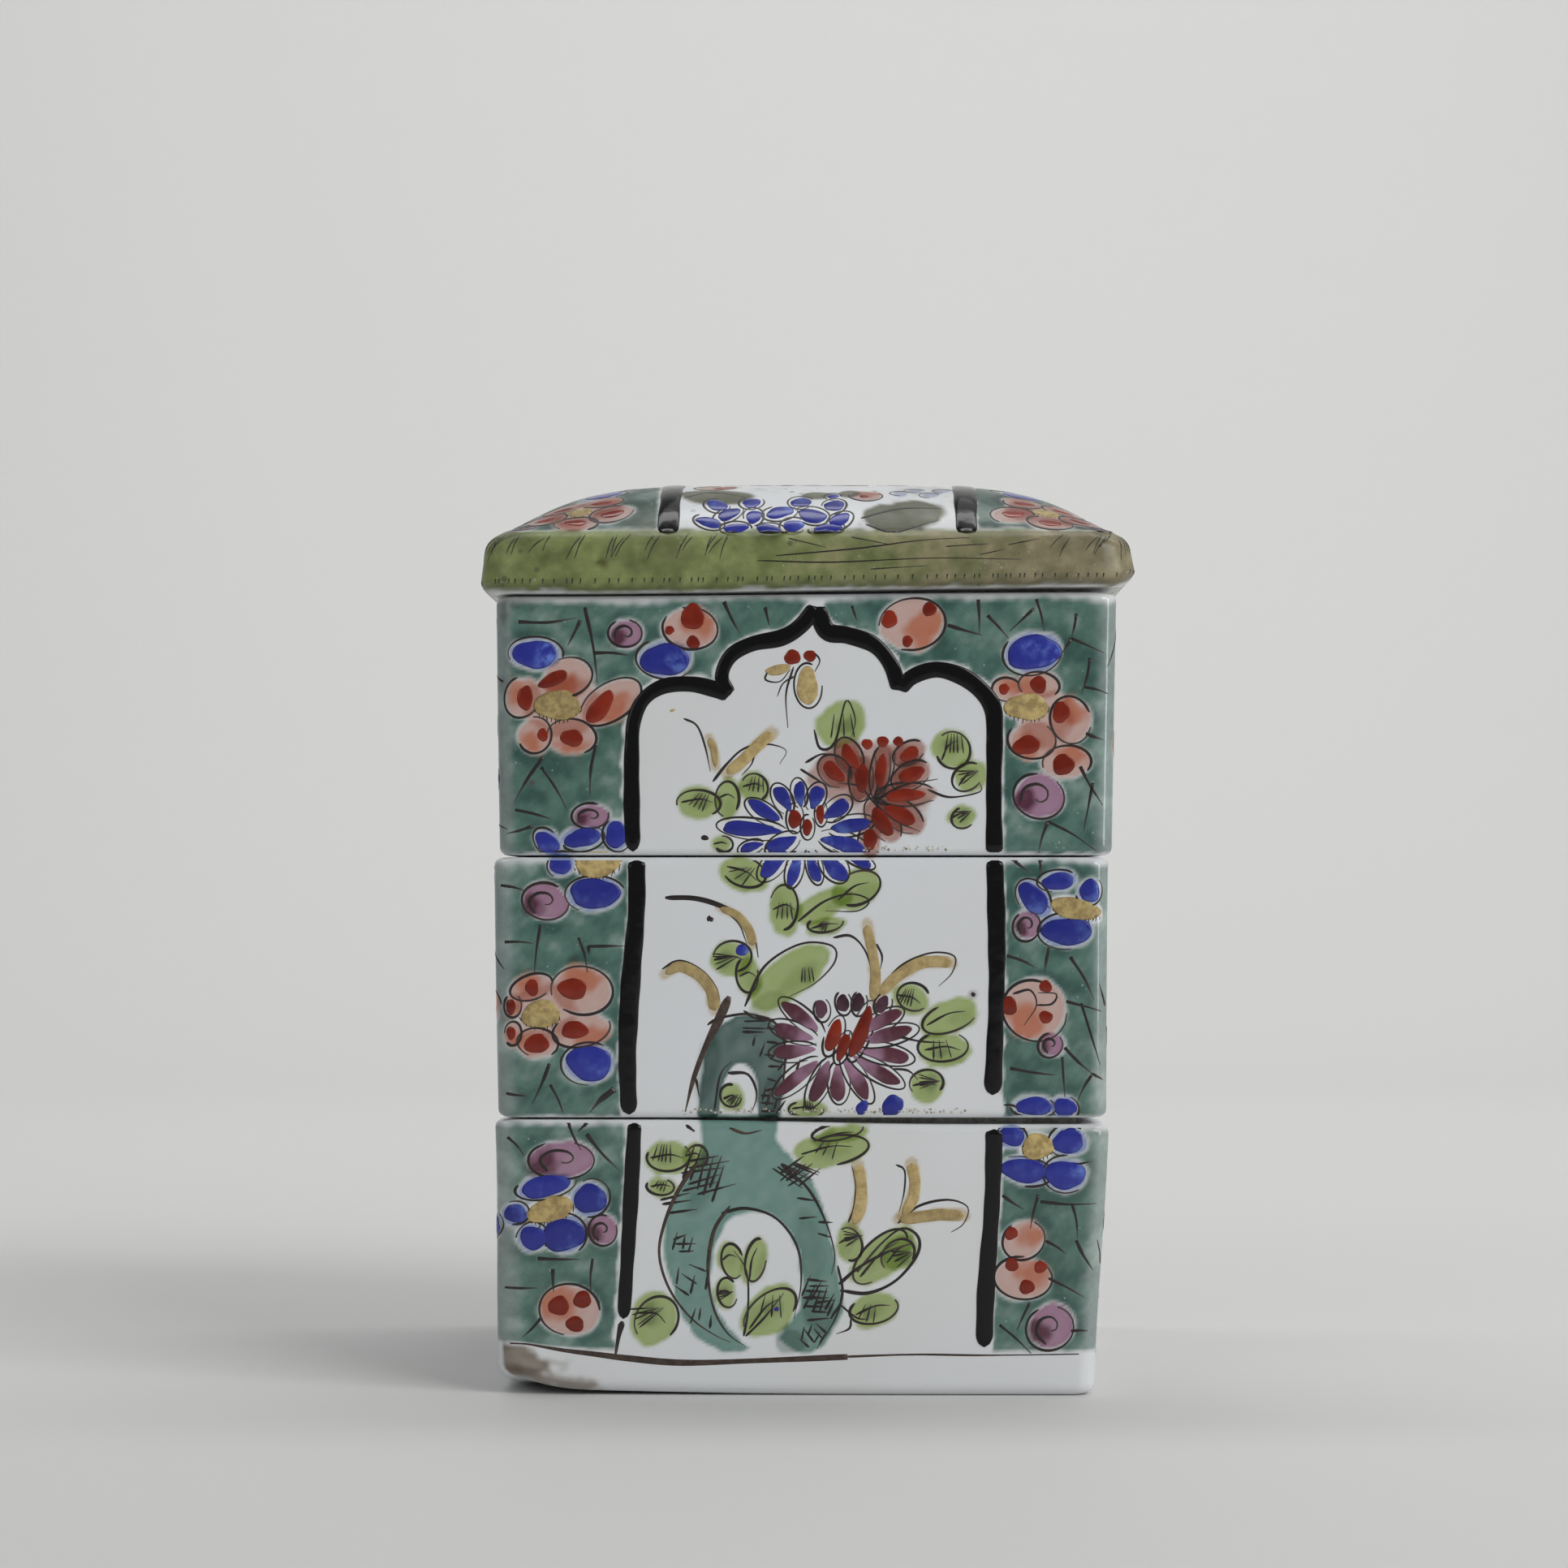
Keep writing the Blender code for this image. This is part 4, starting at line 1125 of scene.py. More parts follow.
def cut_to(mark, low, high):
    """The part of a mark between two heights, closed where it was cut."""
    verts, values, faces = mark
    mesh = bmesh.new()
    layers = [mesh.verts.layers.float.new("value%d" % k) for k in range(values.shape[1])]
    made = []
    for place, row in zip(verts.tolist(), values.tolist()):
        vert = mesh.verts.new(place)
        for layer, value in zip(layers, row):
            vert[layer] = value
        made.append(vert)
    for face in faces:
        mesh.faces.new([made[k] for k in face])
    for height, away in ((low, -1.0), (high, 1.0)):
        everything = mesh.verts[:] + mesh.edges[:] + mesh.faces[:]
        cut = bmesh.ops.bisect_plane(mesh, geom=everything, dist=1e-4, plane_co=(0.0, height, 0.0),
                                     plane_no=(0.0, away, 0.0), clear_outer=True)
        edges = [item for item in cut["geom_cut"] if isinstance(item, bmesh.types.BMEdge)]
        if edges:
            bmesh.ops.holes_fill(mesh, edges=edges, sides=0)
    mesh.verts.index_update()
    verts = np.array([vert.co[:] for vert in mesh.verts]).reshape(-1, 3)
    values = np.array([[vert[layer] for layer in layers] for vert in mesh.verts]).reshape(len(verts), -1)
    faces = [tuple(vert.index for vert in face.verts) for face in mesh.faces]
    mesh.free()
    return verts, values, faces


class Pile:
    """Marks of one kind on one piece, gathered into a single mesh."""

    def __init__(self):
        self.points, self.values, self.faces, self.count = [], [], [], 0

    def add(self, points, values, faces):
        self.points.append(points)
        self.values.append(values)
        self.faces += [tuple(self.count + k for k in face) for face in faces]
        self.count += len(points)


def gather_marks(faces, top_face):
    piles = {}
    for face in faces + [top_face]:
        for kind, mark in face.marks:
            verts, values, polygons = mark
            if face.side == TOP:
                x, y, lift = verts.T
                points = np.stack([x, y, dome_height(x, y) + lift], axis=-1)
                piles.setdefault(("lid", kind), Pile()).add(points, values, polygons)
                continue
            for node in NODES:
                wall = WALLS[node]
                low, high = wall.bottom + 0.45, wall.top - 0.5
                lowest, highest = verts[:, 1].min(), verts[:, 1].max()
                if highest < low + 0.2 or lowest > high - 0.2:
                    continue
                piece = mark
                if lowest < low or highest > high:
                    piece = cut_to(mark, low, high)
                placed = wall.place(face.side, piece[0][:, 0], piece[0][:, 1], piece[0][:, 2])
                piles.setdefault((node, kind), Pile()).add(placed, piece[1], piece[2])
    return piles


# ---------------------------------------------------------------- materials

PORCELAIN = (0.745, 0.765, 0.790)


class Nodes:
    """A material's node tree, with short ways to add nodes and link them."""

    def __init__(self, name):
        self.material = bpy.data.materials.new(name)
        self.material.use_nodes = True
        self.tree = self.material.node_tree
        self.tree.nodes.clear()
        self.output = self.tree.nodes.new("ShaderNodeOutputMaterial")
        self.shader = self.tree.nodes.new("ShaderNodeBsdfPrincipled")
        self.tree.links.new(self.shader.outputs["BSDF"], self.output.inputs["Surface"])

    def link(self, source, node, socket):
        self.tree.links.new(source, node.inputs[socket])

    def attribute(self, name):
        node = self.tree.nodes.new("ShaderNodeAttribute")
        node.attribute_name = name
        return node

    def position(self):
        return self.tree.nodes.new("ShaderNodeTexCoord").outputs["Object"]

    def noise(self, scale, detail=2.0, roughness=0.5, vector=None, stretch=None):
        node = self.tree.nodes.new("ShaderNodeTexNoise")
        node.inputs["Scale"].default_value = scale
        node.inputs["Detail"].default_value = detail
        node.inputs["Roughness"].default_value = roughness
        source = vector or self.position()
        if stretch:
            scaled = self.tree.nodes.new("ShaderNodeVectorMath")
            scaled.operation = "MULTIPLY"
            scaled.inputs[1].default_value = stretch
            self.tree.links.new(source, scaled.inputs[0])
            source = scaled.outputs[0]
        self.link(source, node, "Vector")
        return node.outputs["Fac"]

    def bubbles(self, scale):
        node = self.tree.nodes.new("ShaderNodeTexVoronoi")
        node.inputs["Scale"].default_value = scale
        self.link(self.position(), node, "Vector")
        return node.outputs["Distance"]

    def maths(self, operation, a, b=None, clamp=False):
        node = self.tree.nodes.new("ShaderNodeMath")
        node.operation = operation
        node.use_clamp = clamp
        for socket, value in zip(node.inputs, (a, b)):
            if value is None:
                continue
            if isinstance(value, (int, float)):
                socket.default_value = value
            else:
                self.tree.links.new(value, socket)
        return node.outputs[0]

    def spread(self, value, low, high, first=0.0, last=1.0):
        node = self.tree.nodes.new("ShaderNodeMapRange")
        node.interpolation_type = "SMOOTHSTEP"
        self.link(value, node, "Value")
        for socket, number in zip(("From Min", "From Max", "To Min", "To Max"), (low, high, first, last)):
            node.inputs[socket].default_value = number
        return node.outputs["Result"]

    def mix(self, share, a, b, blend="MIX"):
        node = self.tree.nodes.new("ShaderNodeMix")
        node.data_type = "RGBA"
        node.blend_type = blend
        node.clamp_result = False
        colours = [socket for socket in node.inputs if socket.type == "RGBA"]
        factor = [socket for socket in node.inputs if socket.name == "Factor" and socket.type == "VALUE"][0]
        for socket, value in ((factor, share), (colours[0], a), (colours[1], b)):
            if isinstance(value, (int, float)):
                socket.default_value = value
            elif isinstance(value, tuple):
                socket.default_value = value + (1.0,)
            else:
                self.tree.links.new(value, socket)
        return [socket for socket in node.outputs if socket.type == "RGBA"][0]

    def bump(self, height, strength, distance):
        node = self.tree.nodes.new("ShaderNodeBump")
        node.inputs["Strength"].default_value = strength
        node.inputs["Distance"].default_value = distance
        self.link(height, node, "Height")
        self.link(node.outputs["Normal"], self.shader, "Normal")

    def split(self, colour):
        node = self.tree.nodes.new("ShaderNodeSeparateColor")
        self.link(colour, node, "Color")
        return node.outputs["Red"], node.outputs["Green"], node.outputs["Blue"]


def ware_material(name, lid=False):
    made = Nodes(name)
    wash = made.attribute("wash")
    bare = made.attribute("bare").outputs["Fac"]
    cover = wash.outputs["Alpha"]
    cloud = made.noise(18.0, 3.0, 0.55)
    grain = made.noise(900.0, 3.0, 0.65)
    white = made.mix(made.spread(cloud, 0.35, 0.7), PORCELAIN, (0.725, 0.735, 0.740))
    painted = made.mix(1.0, white, wash.outputs["Color"], "MULTIPLY")
    # tiny bubbles and paler flecks in the coloured glaze
    fleck = made.spread(made.bubbles(850.0), 0.22, 0.08)
    chosen = made.spread(made.noise(260.0, 2.0, 0.6), 0.54, 0.66)
    fleck = made.maths("MULTIPLY", made.maths("MULTIPLY", fleck, chosen), made.maths("MULTIPLY", cover, 0.42))
    painted = made.mix(fleck, painted, (0.52, 0.62, 0.58))
    shade = made.spread(made.noise(420.0, 3.0, 0.7), 0.3, 0.75, 0.86, 1.12)
    shade = made.mix(cover, (1.0, 1.0, 1.0), shade)
    painted = made.mix(1.0, painted, shade, "MULTIPLY")
    # rare iron specks in the white glaze
    speck = made.spread(made.bubbles(95.0), 0.075, 0.035)
    speck = made.maths("MULTIPLY", speck, made.spread(made.noise(60.0, 1.0), 0.60, 0.66))
    painted = made.mix(made.maths("MULTIPLY", speck, 0.8), painted, (0.10, 0.08, 0.07))
    if lid:
        grime = made.maths("MULTIPLY", made.spread(made.noise(75.0, 6.0, 0.75), 0.50, 0.72), 0.34)
        grit = made.maths("MULTIPLY", made.spread(made.bubbles(330.0), 0.22, 0.10),
                          made.spread(made.noise(90.0, 2.0, 0.6), 0.50, 0.60))
        painted = made.mix(grime, painted, (0.135, 0.120, 0.075))
        painted = made.mix(made.maths("MULTIPLY", grit, 0.55), painted, (0.060, 0.052, 0.042))
    biscuit = made.mix(made.spread(grain, 0.3, 0.7), (0.20, 0.195, 0.175), (0.42, 0.41, 0.37))
    rough_clay = made.maths("MULTIPLY", bare, made.spread(made.noise(150.0, 3.0, 0.7), 0.25, 0.6, 0.55, 1.0))
    colour = made.mix(rough_clay, painted, biscuit)
    made.link(colour, made.shader, "Base Color")
    polish = made.spread(made.noise(60.0, 3.0, 0.6), 0.3, 0.7, 0.10, 0.17)
    if lid:
        polish = made.spread(made.noise(120.0, 4.0, 0.7), 0.3, 0.7, 0.24, 0.46)
    roughness = made.maths("ADD", polish, made.maths("MULTIPLY", bare, 0.5))
    made.link(roughness, made.shader, "Roughness")
    made.shader.inputs["IOR"].default_value = 1.5
    made.shader.inputs["Specular IOR Level"].default_value = 0.3 if lid else 0.5
    ripples = made.maths("MULTIPLY", made.noise(55.0, 2.0, 0.5), 0.6)
    pitting = made.maths("MULTIPLY", made.noise(330.0, 2.0, 0.6), made.maths("ADD", cover, 0.25))
    height = made.maths("ADD", ripples, made.maths("MULTIPLY", pitting, 0.22))
    height = made.maths("ADD", height, made.maths("MULTIPLY", grain, made.maths("MULTIPLY", bare, 0.5)))
    made.bump(height, 0.5, 0.00035)
    return made.material


def enamel_material(kind):
    made = Nodes("enamel_" + kind if kind != "ink" else "ink_line")
    mark = made.attribute("mark")
    edge, along, chance = made.split(mark.outputs["Color"])
    fine = made.noise(700.0, 3.0, 0.65)
    broad = made.noise(210.0, 2.0, 0.6)
    roughness, relief = 0.16, (0.35, 0.00012)
    if kind == "cobalt":
        pale = made.maths("ADD", along, made.maths("MULTIPLY", made.maths("SUBTRACT", broad, 0.5), 2.4))
        pale = made.spread(pale, 0.45, 1.35)
        colour = made.mix(pale, (0.022, 0.028, 0.255), (0.115, 0.185, 0.56))
        colour = made.mix(made.spread(made.noise(520.0, 2.0, 0.6), 0.35, 0.65), colour, (0.026, 0.034, 0.28))
        colour = made.mix(made.spread(edge, 0.82, 1.0), colour, (0.022, 0.024, 0.17))
    elif kind == "iron_red":
        colour = made.mix(made.spread(broad, 0.35, 0.65), (0.165, 0.014, 0.005), (0.235, 0.023, 0.009))
        colour = made.mix(made.spread(edge, 0.90, 1.0), colour, (0.20, 0.045, 0.025))
        roughness = 0.13
    elif kind == "gold":
        ground = made.mix(made.spread(fine, 0.35, 0.65), (0.30, 0.215, 0.088), (0.52, 0.395, 0.165))
        colour = made.mix(made.spread(broad, 0.58, 0.74, 0.0, 0.4), ground, (0.17, 0.125, 0.060))
        roughness, relief = 0.42, (0.8, 0.00018)
    elif kind == "ochre":
        colour = made.mix(made.spread(fine, 0.3, 0.7), (0.35, 0.25, 0.105), (0.52, 0.40, 0.185))
        roughness, relief = 0.36, (0.6, 0.00014)
    elif kind == "violet":
        shade = made.maths("ADD", along, made.maths("MULTIPLY", made.maths("SUBTRACT", broad, 0.5), 1.5))
        colour = made.mix(made.spread(shade, 0.25, 1.0), (0.10, 0.030, 0.046), (0.34, 0.19, 0.285))
    elif kind == "aubergine":
        colour = made.mix(made.spread(broad, 0.4, 0.7), (0.040, 0.017, 0.026), (0.105, 0.045, 0.066))
    elif kind == "black":
        colour = made.mix(made.spread(edge, 0.80, 1.0), (0.0040, 0.0040, 0.0045), (0.018, 0.011, 0.009))
        roughness, relief = 0.12, (0.45, 0.00022)
    elif kind == "bead":
        colour = made.mix(made.spread(chance, 0.5, 0.9), (0.62, 0.60, 0.52), (0.24, 0.21, 0.15))
    elif kind == "brown":
        colour = made.mix(made.spread(fine, 0.35, 0.7), (0.040, 0.028, 0.024), (0.085, 0.055, 0.042))
        roughness = 0.3
    else:
        thin = made.spread(made.maths("ADD", along, made.maths("MULTIPLY", broad, 0.5)), 0.7, 1.5)
        colour = made.mix(thin, (0.026, 0.020, 0.019), (0.095, 0.074, 0.068))
        roughness = 0.28
    lighter = made.spread(chance, 0.0, 1.0, 0.88, 1.14)
    colour = made.mix(1.0, colour, lighter, "MULTIPLY")
    made.link(colour, made.shader, "Base Color")
    made.shader.inputs["Roughness"].default_value = roughness
    made.shader.inputs["Specular IOR Level"].default_value = 0.3 if kind == "black" else 0.4
    made.bump(broad if kind in ("black", "cobalt", "iron_red") else fine, *relief)
    return made.material


def plain_material(name, colour, roughness):
    made = Nodes(name)
    soft = made.noise(1.3, 2.0, 0.5)
    darker = tuple(channel * 0.985 for channel in colour)
    made.link(made.mix(soft, darker, colour), made.shader, "Base Color")
    made.shader.inputs["Roughness"].default_value = roughness
    made.shader.inputs["Specular IOR Level"].default_value = 0.15
    return made.material


# ---------------------------------------------------------------- the object

def dress(thing, node, material):
    thing.data.materials.append(material)
    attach(thing, BODY_OF[node])


def build_object():
    faces = paint_walls()
    top_face = paint_dome()
    porcelain, lid_glaze = ware_material("glazed_porcelain"), ware_material("lid_glaze", lid=True)
    for node in NODES:
        if node == "lid":
            thing = build_lid(faces, top_face)
            dress(thing, node, lid_glaze)
        else:
            thing = build_tier(node, faces)
            dress(thing, node, porcelain)
        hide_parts(node)
    enamels = {kind: enamel_material(kind) for kind in HEIGHTS}
    for (node, kind), pile in gather_marks(faces, top_face).items():
        points = warp(np.vstack(pile.points), node)
        thing = make_mesh(kind + "_" + node, points, pile.faces, {"mark": np.vstack(pile.values)})
        dress(thing, node, enamels[kind])


# ---------------------------------------------------------------- camera, light and floor

EYE = 78.2
AZIMUTH = math.radians(0.5)
FOCAL_PIXELS = 4270.0
IMAGE = 1932.0


def add_camera():
    forward = Vector((-math.sin(AZIMUTH), math.cos(AZIMUTH), 0.0))
    right = Vector((math.cos(AZIMUTH), math.sin(AZIMUTH), 0.0))
    front = Vector((0.0, -49.0, EYE))
    data = bpy.data.cameras.new("camera")
    camera = bpy.data.objects.new("camera", data)
    bpy.context.scene.collection.objects.link(camera)
    camera.location = (front - forward * 555.6 - right * 3.4) * MM
    camera.rotation_euler = (math.radians(90.0), 0.0, AZIMUTH)
    data.sensor_width = 36.0
    data.lens = 36.0 * FOCAL_PIXELS / IMAGE
    data.shift_y = 154.0 / IMAGE
    data.clip_start, data.clip_end = 0.02, 50.0
    data.dof.use_dof = False
    bpy.context.scene.camera = camera


def add_area(name, place, target, size, watts, colour):
    data = bpy.data.lights.new(name, "AREA")
    data.shape = "RECTANGLE"
    data.size, data.size_y = size
    data.energy = watts
    data.color = colour
    lamp = bpy.data.objects.new(name, data)
    bpy.context.scene.collection.objects.link(lamp)
    lamp.location = place
    lamp.rotation_euler = (Vector(target) - Vector(place)).to_track_quat("-Z", "Y").to_euler()


def add_lights():
    middle = (0.0, 0.0, 0.07)
    add_area("key", (0.95, -1.05, 1.05), middle, (0.8, 0.8), 10.3, (1.0, 0.99, 0.97))
    add_area("fill", (-1.1, -1.4, 0.7), middle, (1.0, 1.0), 2.6, (0.95, 0.98, 1.0))
    add_area("overhead", (0.3, 0.5, 1.6), middle, (1.0, 1.0), 1.6, (1.0, 1.0, 1.0))
    add_area("edge_strip", (1.15, -0.6, 0.4), middle, (0.22, 0.9), 4.2, (1.0, 1.0, 1.0))
    add_area("backdrop_lamp", (0.0, 0.35, 1.5), (0.0, 1.6, 0.35), (2.4, 0.6), 15.3, (1.0, 1.0, 0.99))
    world = bpy.data.worlds.new("studio")
    world.use_nodes = True
    background = world.node_tree.nodes["Background"]
    background.inputs["Color"].default_value = (0.96, 0.98, 1.0, 1.0)
    background.inputs["Strength"].default_value = 0.19
    bpy.context.scene.world = world
    bpy.context.scene.view_settings.view_transform = "Standard"


def add_floor():
    """A pale floor that curves up into a backdrop behind the object."""
    profile = [(-4.0, 0.0), (0.9, 0.0)]
    profile += [(0.9 + 0.7 * math.sin(a), 0.7 - 0.7 * math.cos(a)) for a in arc(16)[1:]]
    profile += [(1.6, 3.2)]
    points, faces = [], []
    for y, z in profile:
        points += [(-4.0, y, z), (4.0, y, z)]
    for k in range(len(profile) - 1):
        faces.append((2 * k, 2 * k + 1, 2 * k + 3, 2 * k + 2))
    floor = make_mesh("floor", np.array(points) / MM, faces, {})
    floor.data.materials.append(plain_material("backdrop", (0.74, 0.74, 0.73), 0.7))


# ---------------------------------------------------------------- the other faces

def ring_of(count, radius_u, radius_w, first=0.0):
    for k in range(count):
        angle = first + 2.0 * math.pi * k / count
        yield radius_u * math.cos(angle), radius_w * math.sin(angle), math.degrees(angle)


def coral_flower(face, u, w, size, petals=5):
    """A gold-centred flower of the border, with a red dab on each petal."""
    chance = face.chance
    face.spot("blush", u, w, size * 0.95, size * 0.8, 0, 0.9, 1.6)
    for du, dw, angle in ring_of(petals, size, size * 0.8, chance.uniform(0, 1.2)):
        ru, rw = size * chance.uniform(0.54, 0.70), size * chance.uniform(0.44, 0.56)
        red = (u + du * 0.92, w + dw * 0.92, ru * 0.48, rw * 0.5, angle)
        face.coral_petal(u + du, w + dw, ru, rw, angle, red)
    face.gold(u, w, size * 0.58, size * 0.40)


def blue_flower(face, u, w, size, petals=5):
    chance = face.chance
    for du, dw, angle in ring_of(petals, size, size * 0.78, chance.uniform(0, 1.2)):
        face.blue_petal(u + du, w + dw, size * chance.uniform(0.5, 0.62), size * chance.uniform(0.32, 0.42), angle)
    face.gold(u, w, size * 0.62, size * 0.34, chance.uniform(-20, 20))


def coral_ball(face, u, w, size):
    chance = face.chance
    reds = [(u + du, w + dw, size * 0.24) for du, dw, _ in ring_of(3, size * 0.5, size * 0.45, chance.uniform(0, 2))]
    face.coral_petal(u, w, size, size * 0.86, 0, *reds)
    face.ink((u - size * 0.6, w), (u, w + size * 0.35), (u + size * 0.5, w - size * 0.1), width=0.34)


def chrysanthemum(face, kind, u, w, size, petals=14):
    """Pointed petals round a heart of three red dabs."""
    for number, (du, dw, _) in enumerate(ring_of(petals, size * 0.72, size * 0.56, face.chance.uniform(0, 0.4))):
        long = size * (0.36 if number % 2 else 0.32)
        if kind == "rust":
            face.spot("rust", u + du * 0.95, w + dw * 0.95, long * 1.05, size * 0.19,
                      math.degrees(math.atan2(dw, du)), 0.9, 0.7, False)
            face.dab("iron_red", u + du * 0.95, w + dw * 0.95, long * 0.75, size * 0.10,
                     math.degrees(math.atan2(dw, du)), clear=False)
            face.loop(u + du * 0.95, w + dw * 0.95, long, size * 0.18, math.degrees(math.atan2(dw, du)), 20, 310)
        else:
            face.ray(kind, u + du, w + dw, long, size * 0.115, 0, (u, w))
    for shift, tall in ((-0.16, 0.19), (0.02, 0.15), (0.20, 0.20)):
        face.dab("iron_red", u + size * shift, w + size * 0.10, size * 0.085, size * tall, -16)
        face.loop(u + size * shift, w + size * 0.10, size * 0.11, size * tall * 1.2, -16, 80, 320)


def spray(face, u, w, size, lean=1.0):
    """A stem with leaves on both sides and a curved blade of grass."""
    chance = face.chance
    face.ink((u, w), (u + lean * size * 0.25, w + size * 0.5), (u + lean * size * 0.1, w + size), width=0.55)
    for share, side in ((0.15, -1), (0.35, 1), (0.6, -1), (0.85, 1)):
        face.leaf(u + side * size * chance.uniform(0.24, 0.34), w + size * share, size * chance.uniform(0.20, 0.27),
                  size * chance.uniform(0.13, 0.18), side * chance.uniform(20, 50), smudge=chance.random() < 0.6)
    face.blade((u + lean * size * 0.3, w + size * 0.35), (u + lean * size * 0.62, w + size * 0.75),
               (u + lean * size * 0.98, w + size * 0.8), half=0.85)


def pierced_rock(face, u, bottom, top, width):
    """A scholar's rock, narrow at its waist, with a hole in its foot and cross-hatching on its shoulders."""
    tall = top - bottom
    shape = ((-0.45, 0.0), (-0.95, 0.16), (-1.0, 0.34), (-0.72, 0.48), (-0.58, 0.62), (-0.66, 0.80), (-0.30, 0.98),
             (0.12, 1.0), (0.40, 0.84), (0.34, 0.62), (0.62, 0.46), (0.86, 0.26), (0.80, 0.06), (0.35, 0.0), (0.05, 0.07))
    outline = [tuple(p) for p in curve([(u + a * width, bottom + b * tall) for a, b in shape], 0.8)]
    hole = ellipse(u - width * 0.12, bottom + tall * 0.24, width * 0.42, tall * 0.15, 6)
    edge = area(outline)
    face.wash("teal", lambda a, b: np.maximum(edge(a, b), -hole(a, b)), 1.0, 0.7)
    face.spot("deep_teal", u + width * 0.55, bottom + tall * 0.14, width * 0.25, tall * 0.1, 0, 0.8, 1.2, False)
    face.spot("deep_teal", u - width * 0.4, bottom + tall * 0.75, width * 0.2, tall * 0.16, 0, 0.8, 1.6, False)
    for first, last, kind in ((0, 7, "brown"), (6, 12, "ink"), (10, 15, "ink")):
        face.ink(*[(u + a * width * 1.02, bottom + b * tall) for a, b in shape[first:last]], width=0.6, kind=kind)
    face.loop(u - width * 0.12, bottom + tall * 0.24, width * 0.42, tall * 0.15, 6, 200, 300, 0.5)
    face.hatch(u - width * 0.62, bottom + tall * 0.56, width * 0.5, 4.5, 5, 12)
    face.hatch(u + width * 0.32, bottom + tall * 0.55, width * 0.4, 4.0, 5, -20)
    face.hatch(u + width * 0.62, bottom + tall * 0.14, width * 0.4, 5.0, 6, 4)
    face.leaf(u - width * 0.2, bottom + tall * 0.20, width * 0.26, tall * 0.06, 60)
    face.leaf(u - width * 0.02, bottom + tall * 0.27, width * 0.22, tall * 0.05, 110, smudge=False)


def scatter_cracks(face, left, right, low, high, taken):
    """Crackle strokes on the green ground, kept off the flowers."""
    chance = face.chance
    for _ in range(60):
        u, w = chance.uniform(left, right), chance.uniform(low, high)
        if any(math.hypot(u - a, w - b) < reach + 1.5 for a, b, reach in taken):
            continue
        turn, long = chance.uniform(0, 2 * math.pi), chance.uniform(3.5, 7.5)
        far = (u + long * math.cos(turn), w + long * math.sin(turn))
        if not (left - 1 < far[0] < right + 1 and low < far[1] < high):
            continue
        if any(math.hypot(far[0] - a, far[1] - b) < reach for a, b, reach in taken):
            continue
        face.cracks((u, w) + far)
        taken.append(((u + far[0]) / 2, (w + far[1]) / 2, 1.6))


def paint_border(face, side):
    """Flowers, buds and cracks on the green ground to the left (side -1) or right (side 1) of the arch."""
    chance = face.chance
    middle = 38.6 * side
    plan = [(120.0, "ball", 4.3), (107.5, "coral", 5.6), (95.5, "violet", 3.4), (83.5, "blue", 5.2), (73.0, "violet", 2.8),
            (61.5, "coral", 5.4), (49.5, "blue", 4.6), (38.0, "violet", 3.6), (27.5, "blue", 5.2), (14.0, "ball", 4.6)]
    swap = chance.random() < 0.5
    taken = []
    for w, what, size in plan:
        if swap and what in ("coral", "blue"):
            what = "blue" if what == "coral" else "coral"
        u = middle + chance.uniform(-1.8, 1.8)
        w = w + chance.uniform(-1.4, 1.4)
        if what == "coral":
            coral_flower(face, u, w, size)
        elif what == "blue":
            blue_flower(face, u, w, size)
        elif what == "ball":
            coral_ball(face, u, w, size)
        else:
            face.violet_ball(u, w, size, size * 0.85)
        taken.append((u, w, size * (1.6 if what in ("coral", "blue") else 1.05)))
        if what == "violet":
            face.blue_petal(u + 6.4 * (1 if chance.random() < 0.5 else -1), w + 2.5, 2.2, 1.6, chance.uniform(-30, 30))
            taken.append((u + 6.4, w + 2.5, 2.4))
            taken.append((u - 6.4, w + 2.5, 2.4))
    left, right = sorted((31.5 * side, 49.5 * side))
    scatter_cracks(face, left, right, 9.0, 127.0, taken)


def over_the_arch(face):
    """Buds and short cracks in the green between the arch and the upper rim."""
    coral_ball(face, -19.5, 122.6, 3.6)
    face.blue_petal(-25.4, 119.0, 3.4, 2.4, 20)
    coral_ball(face, 18.6, 123.2, 3.4)
    face.violet_ball(26.6, 121.4, 2.6, 2.2)
    face.cracks((-12.6, 126.8, -10.2, 122.4), (-7.4, 126.4, -6.0, 123.4), (8.2, 126.6, 9.4, 124.0),
                (12.6, 126.2, 12.2, 121.8), (23.6, 126.4, 22.4, 121.6), (-30.2, 126.0, -29.4, 121.0))


def mirrored(lines):
    return tuple(tuple((-u, w) for u, w in line) for line in lines)


def paint_side_arch(face, flip):
    """The same arch and posts as the front's, turned round on every second face."""
    if not flip:
        paint_arch(face, FRONT_ARCH, FRONT_POSTS)
        return
    arch = [list(reversed(lobe)) for lobe in reversed(mirrored(FRONT_ARCH))]
    upper_left, upper_right, low_left, low_right = mirrored(FRONT_POSTS)
    paint_arch(face, arch, (upper_right, upper_left, low_right, low_left))


def butterfly(face, u, w):
    face.dab("iron_red", u - 1.5, w + 2.0, 1.1)
    face.dab("iron_red", u + 1.3, w + 2.1, 0.9)
    face.dab("ochre", u + 0.6, w - 1.9, 1.5, 2.6, 8, clear=False)
    face.dab("ochre", u - 3.3, w + 0.3, 2.0, 0.8, 20, clear=False)
    face.loop(u + 0.6, w - 1.8, 1.7, 2.9, 8, 60, 300, 0.3)
    face.ink((u - 1.2, w + 0.4), (u - 2.4, w - 3.2), (u - 2.2, w - 7.4), width=0.3)
    face.ink((u - 4.8, w), (u - 5.4, w - 1.4), (u - 2.0, w + 0.2), width=0.3)


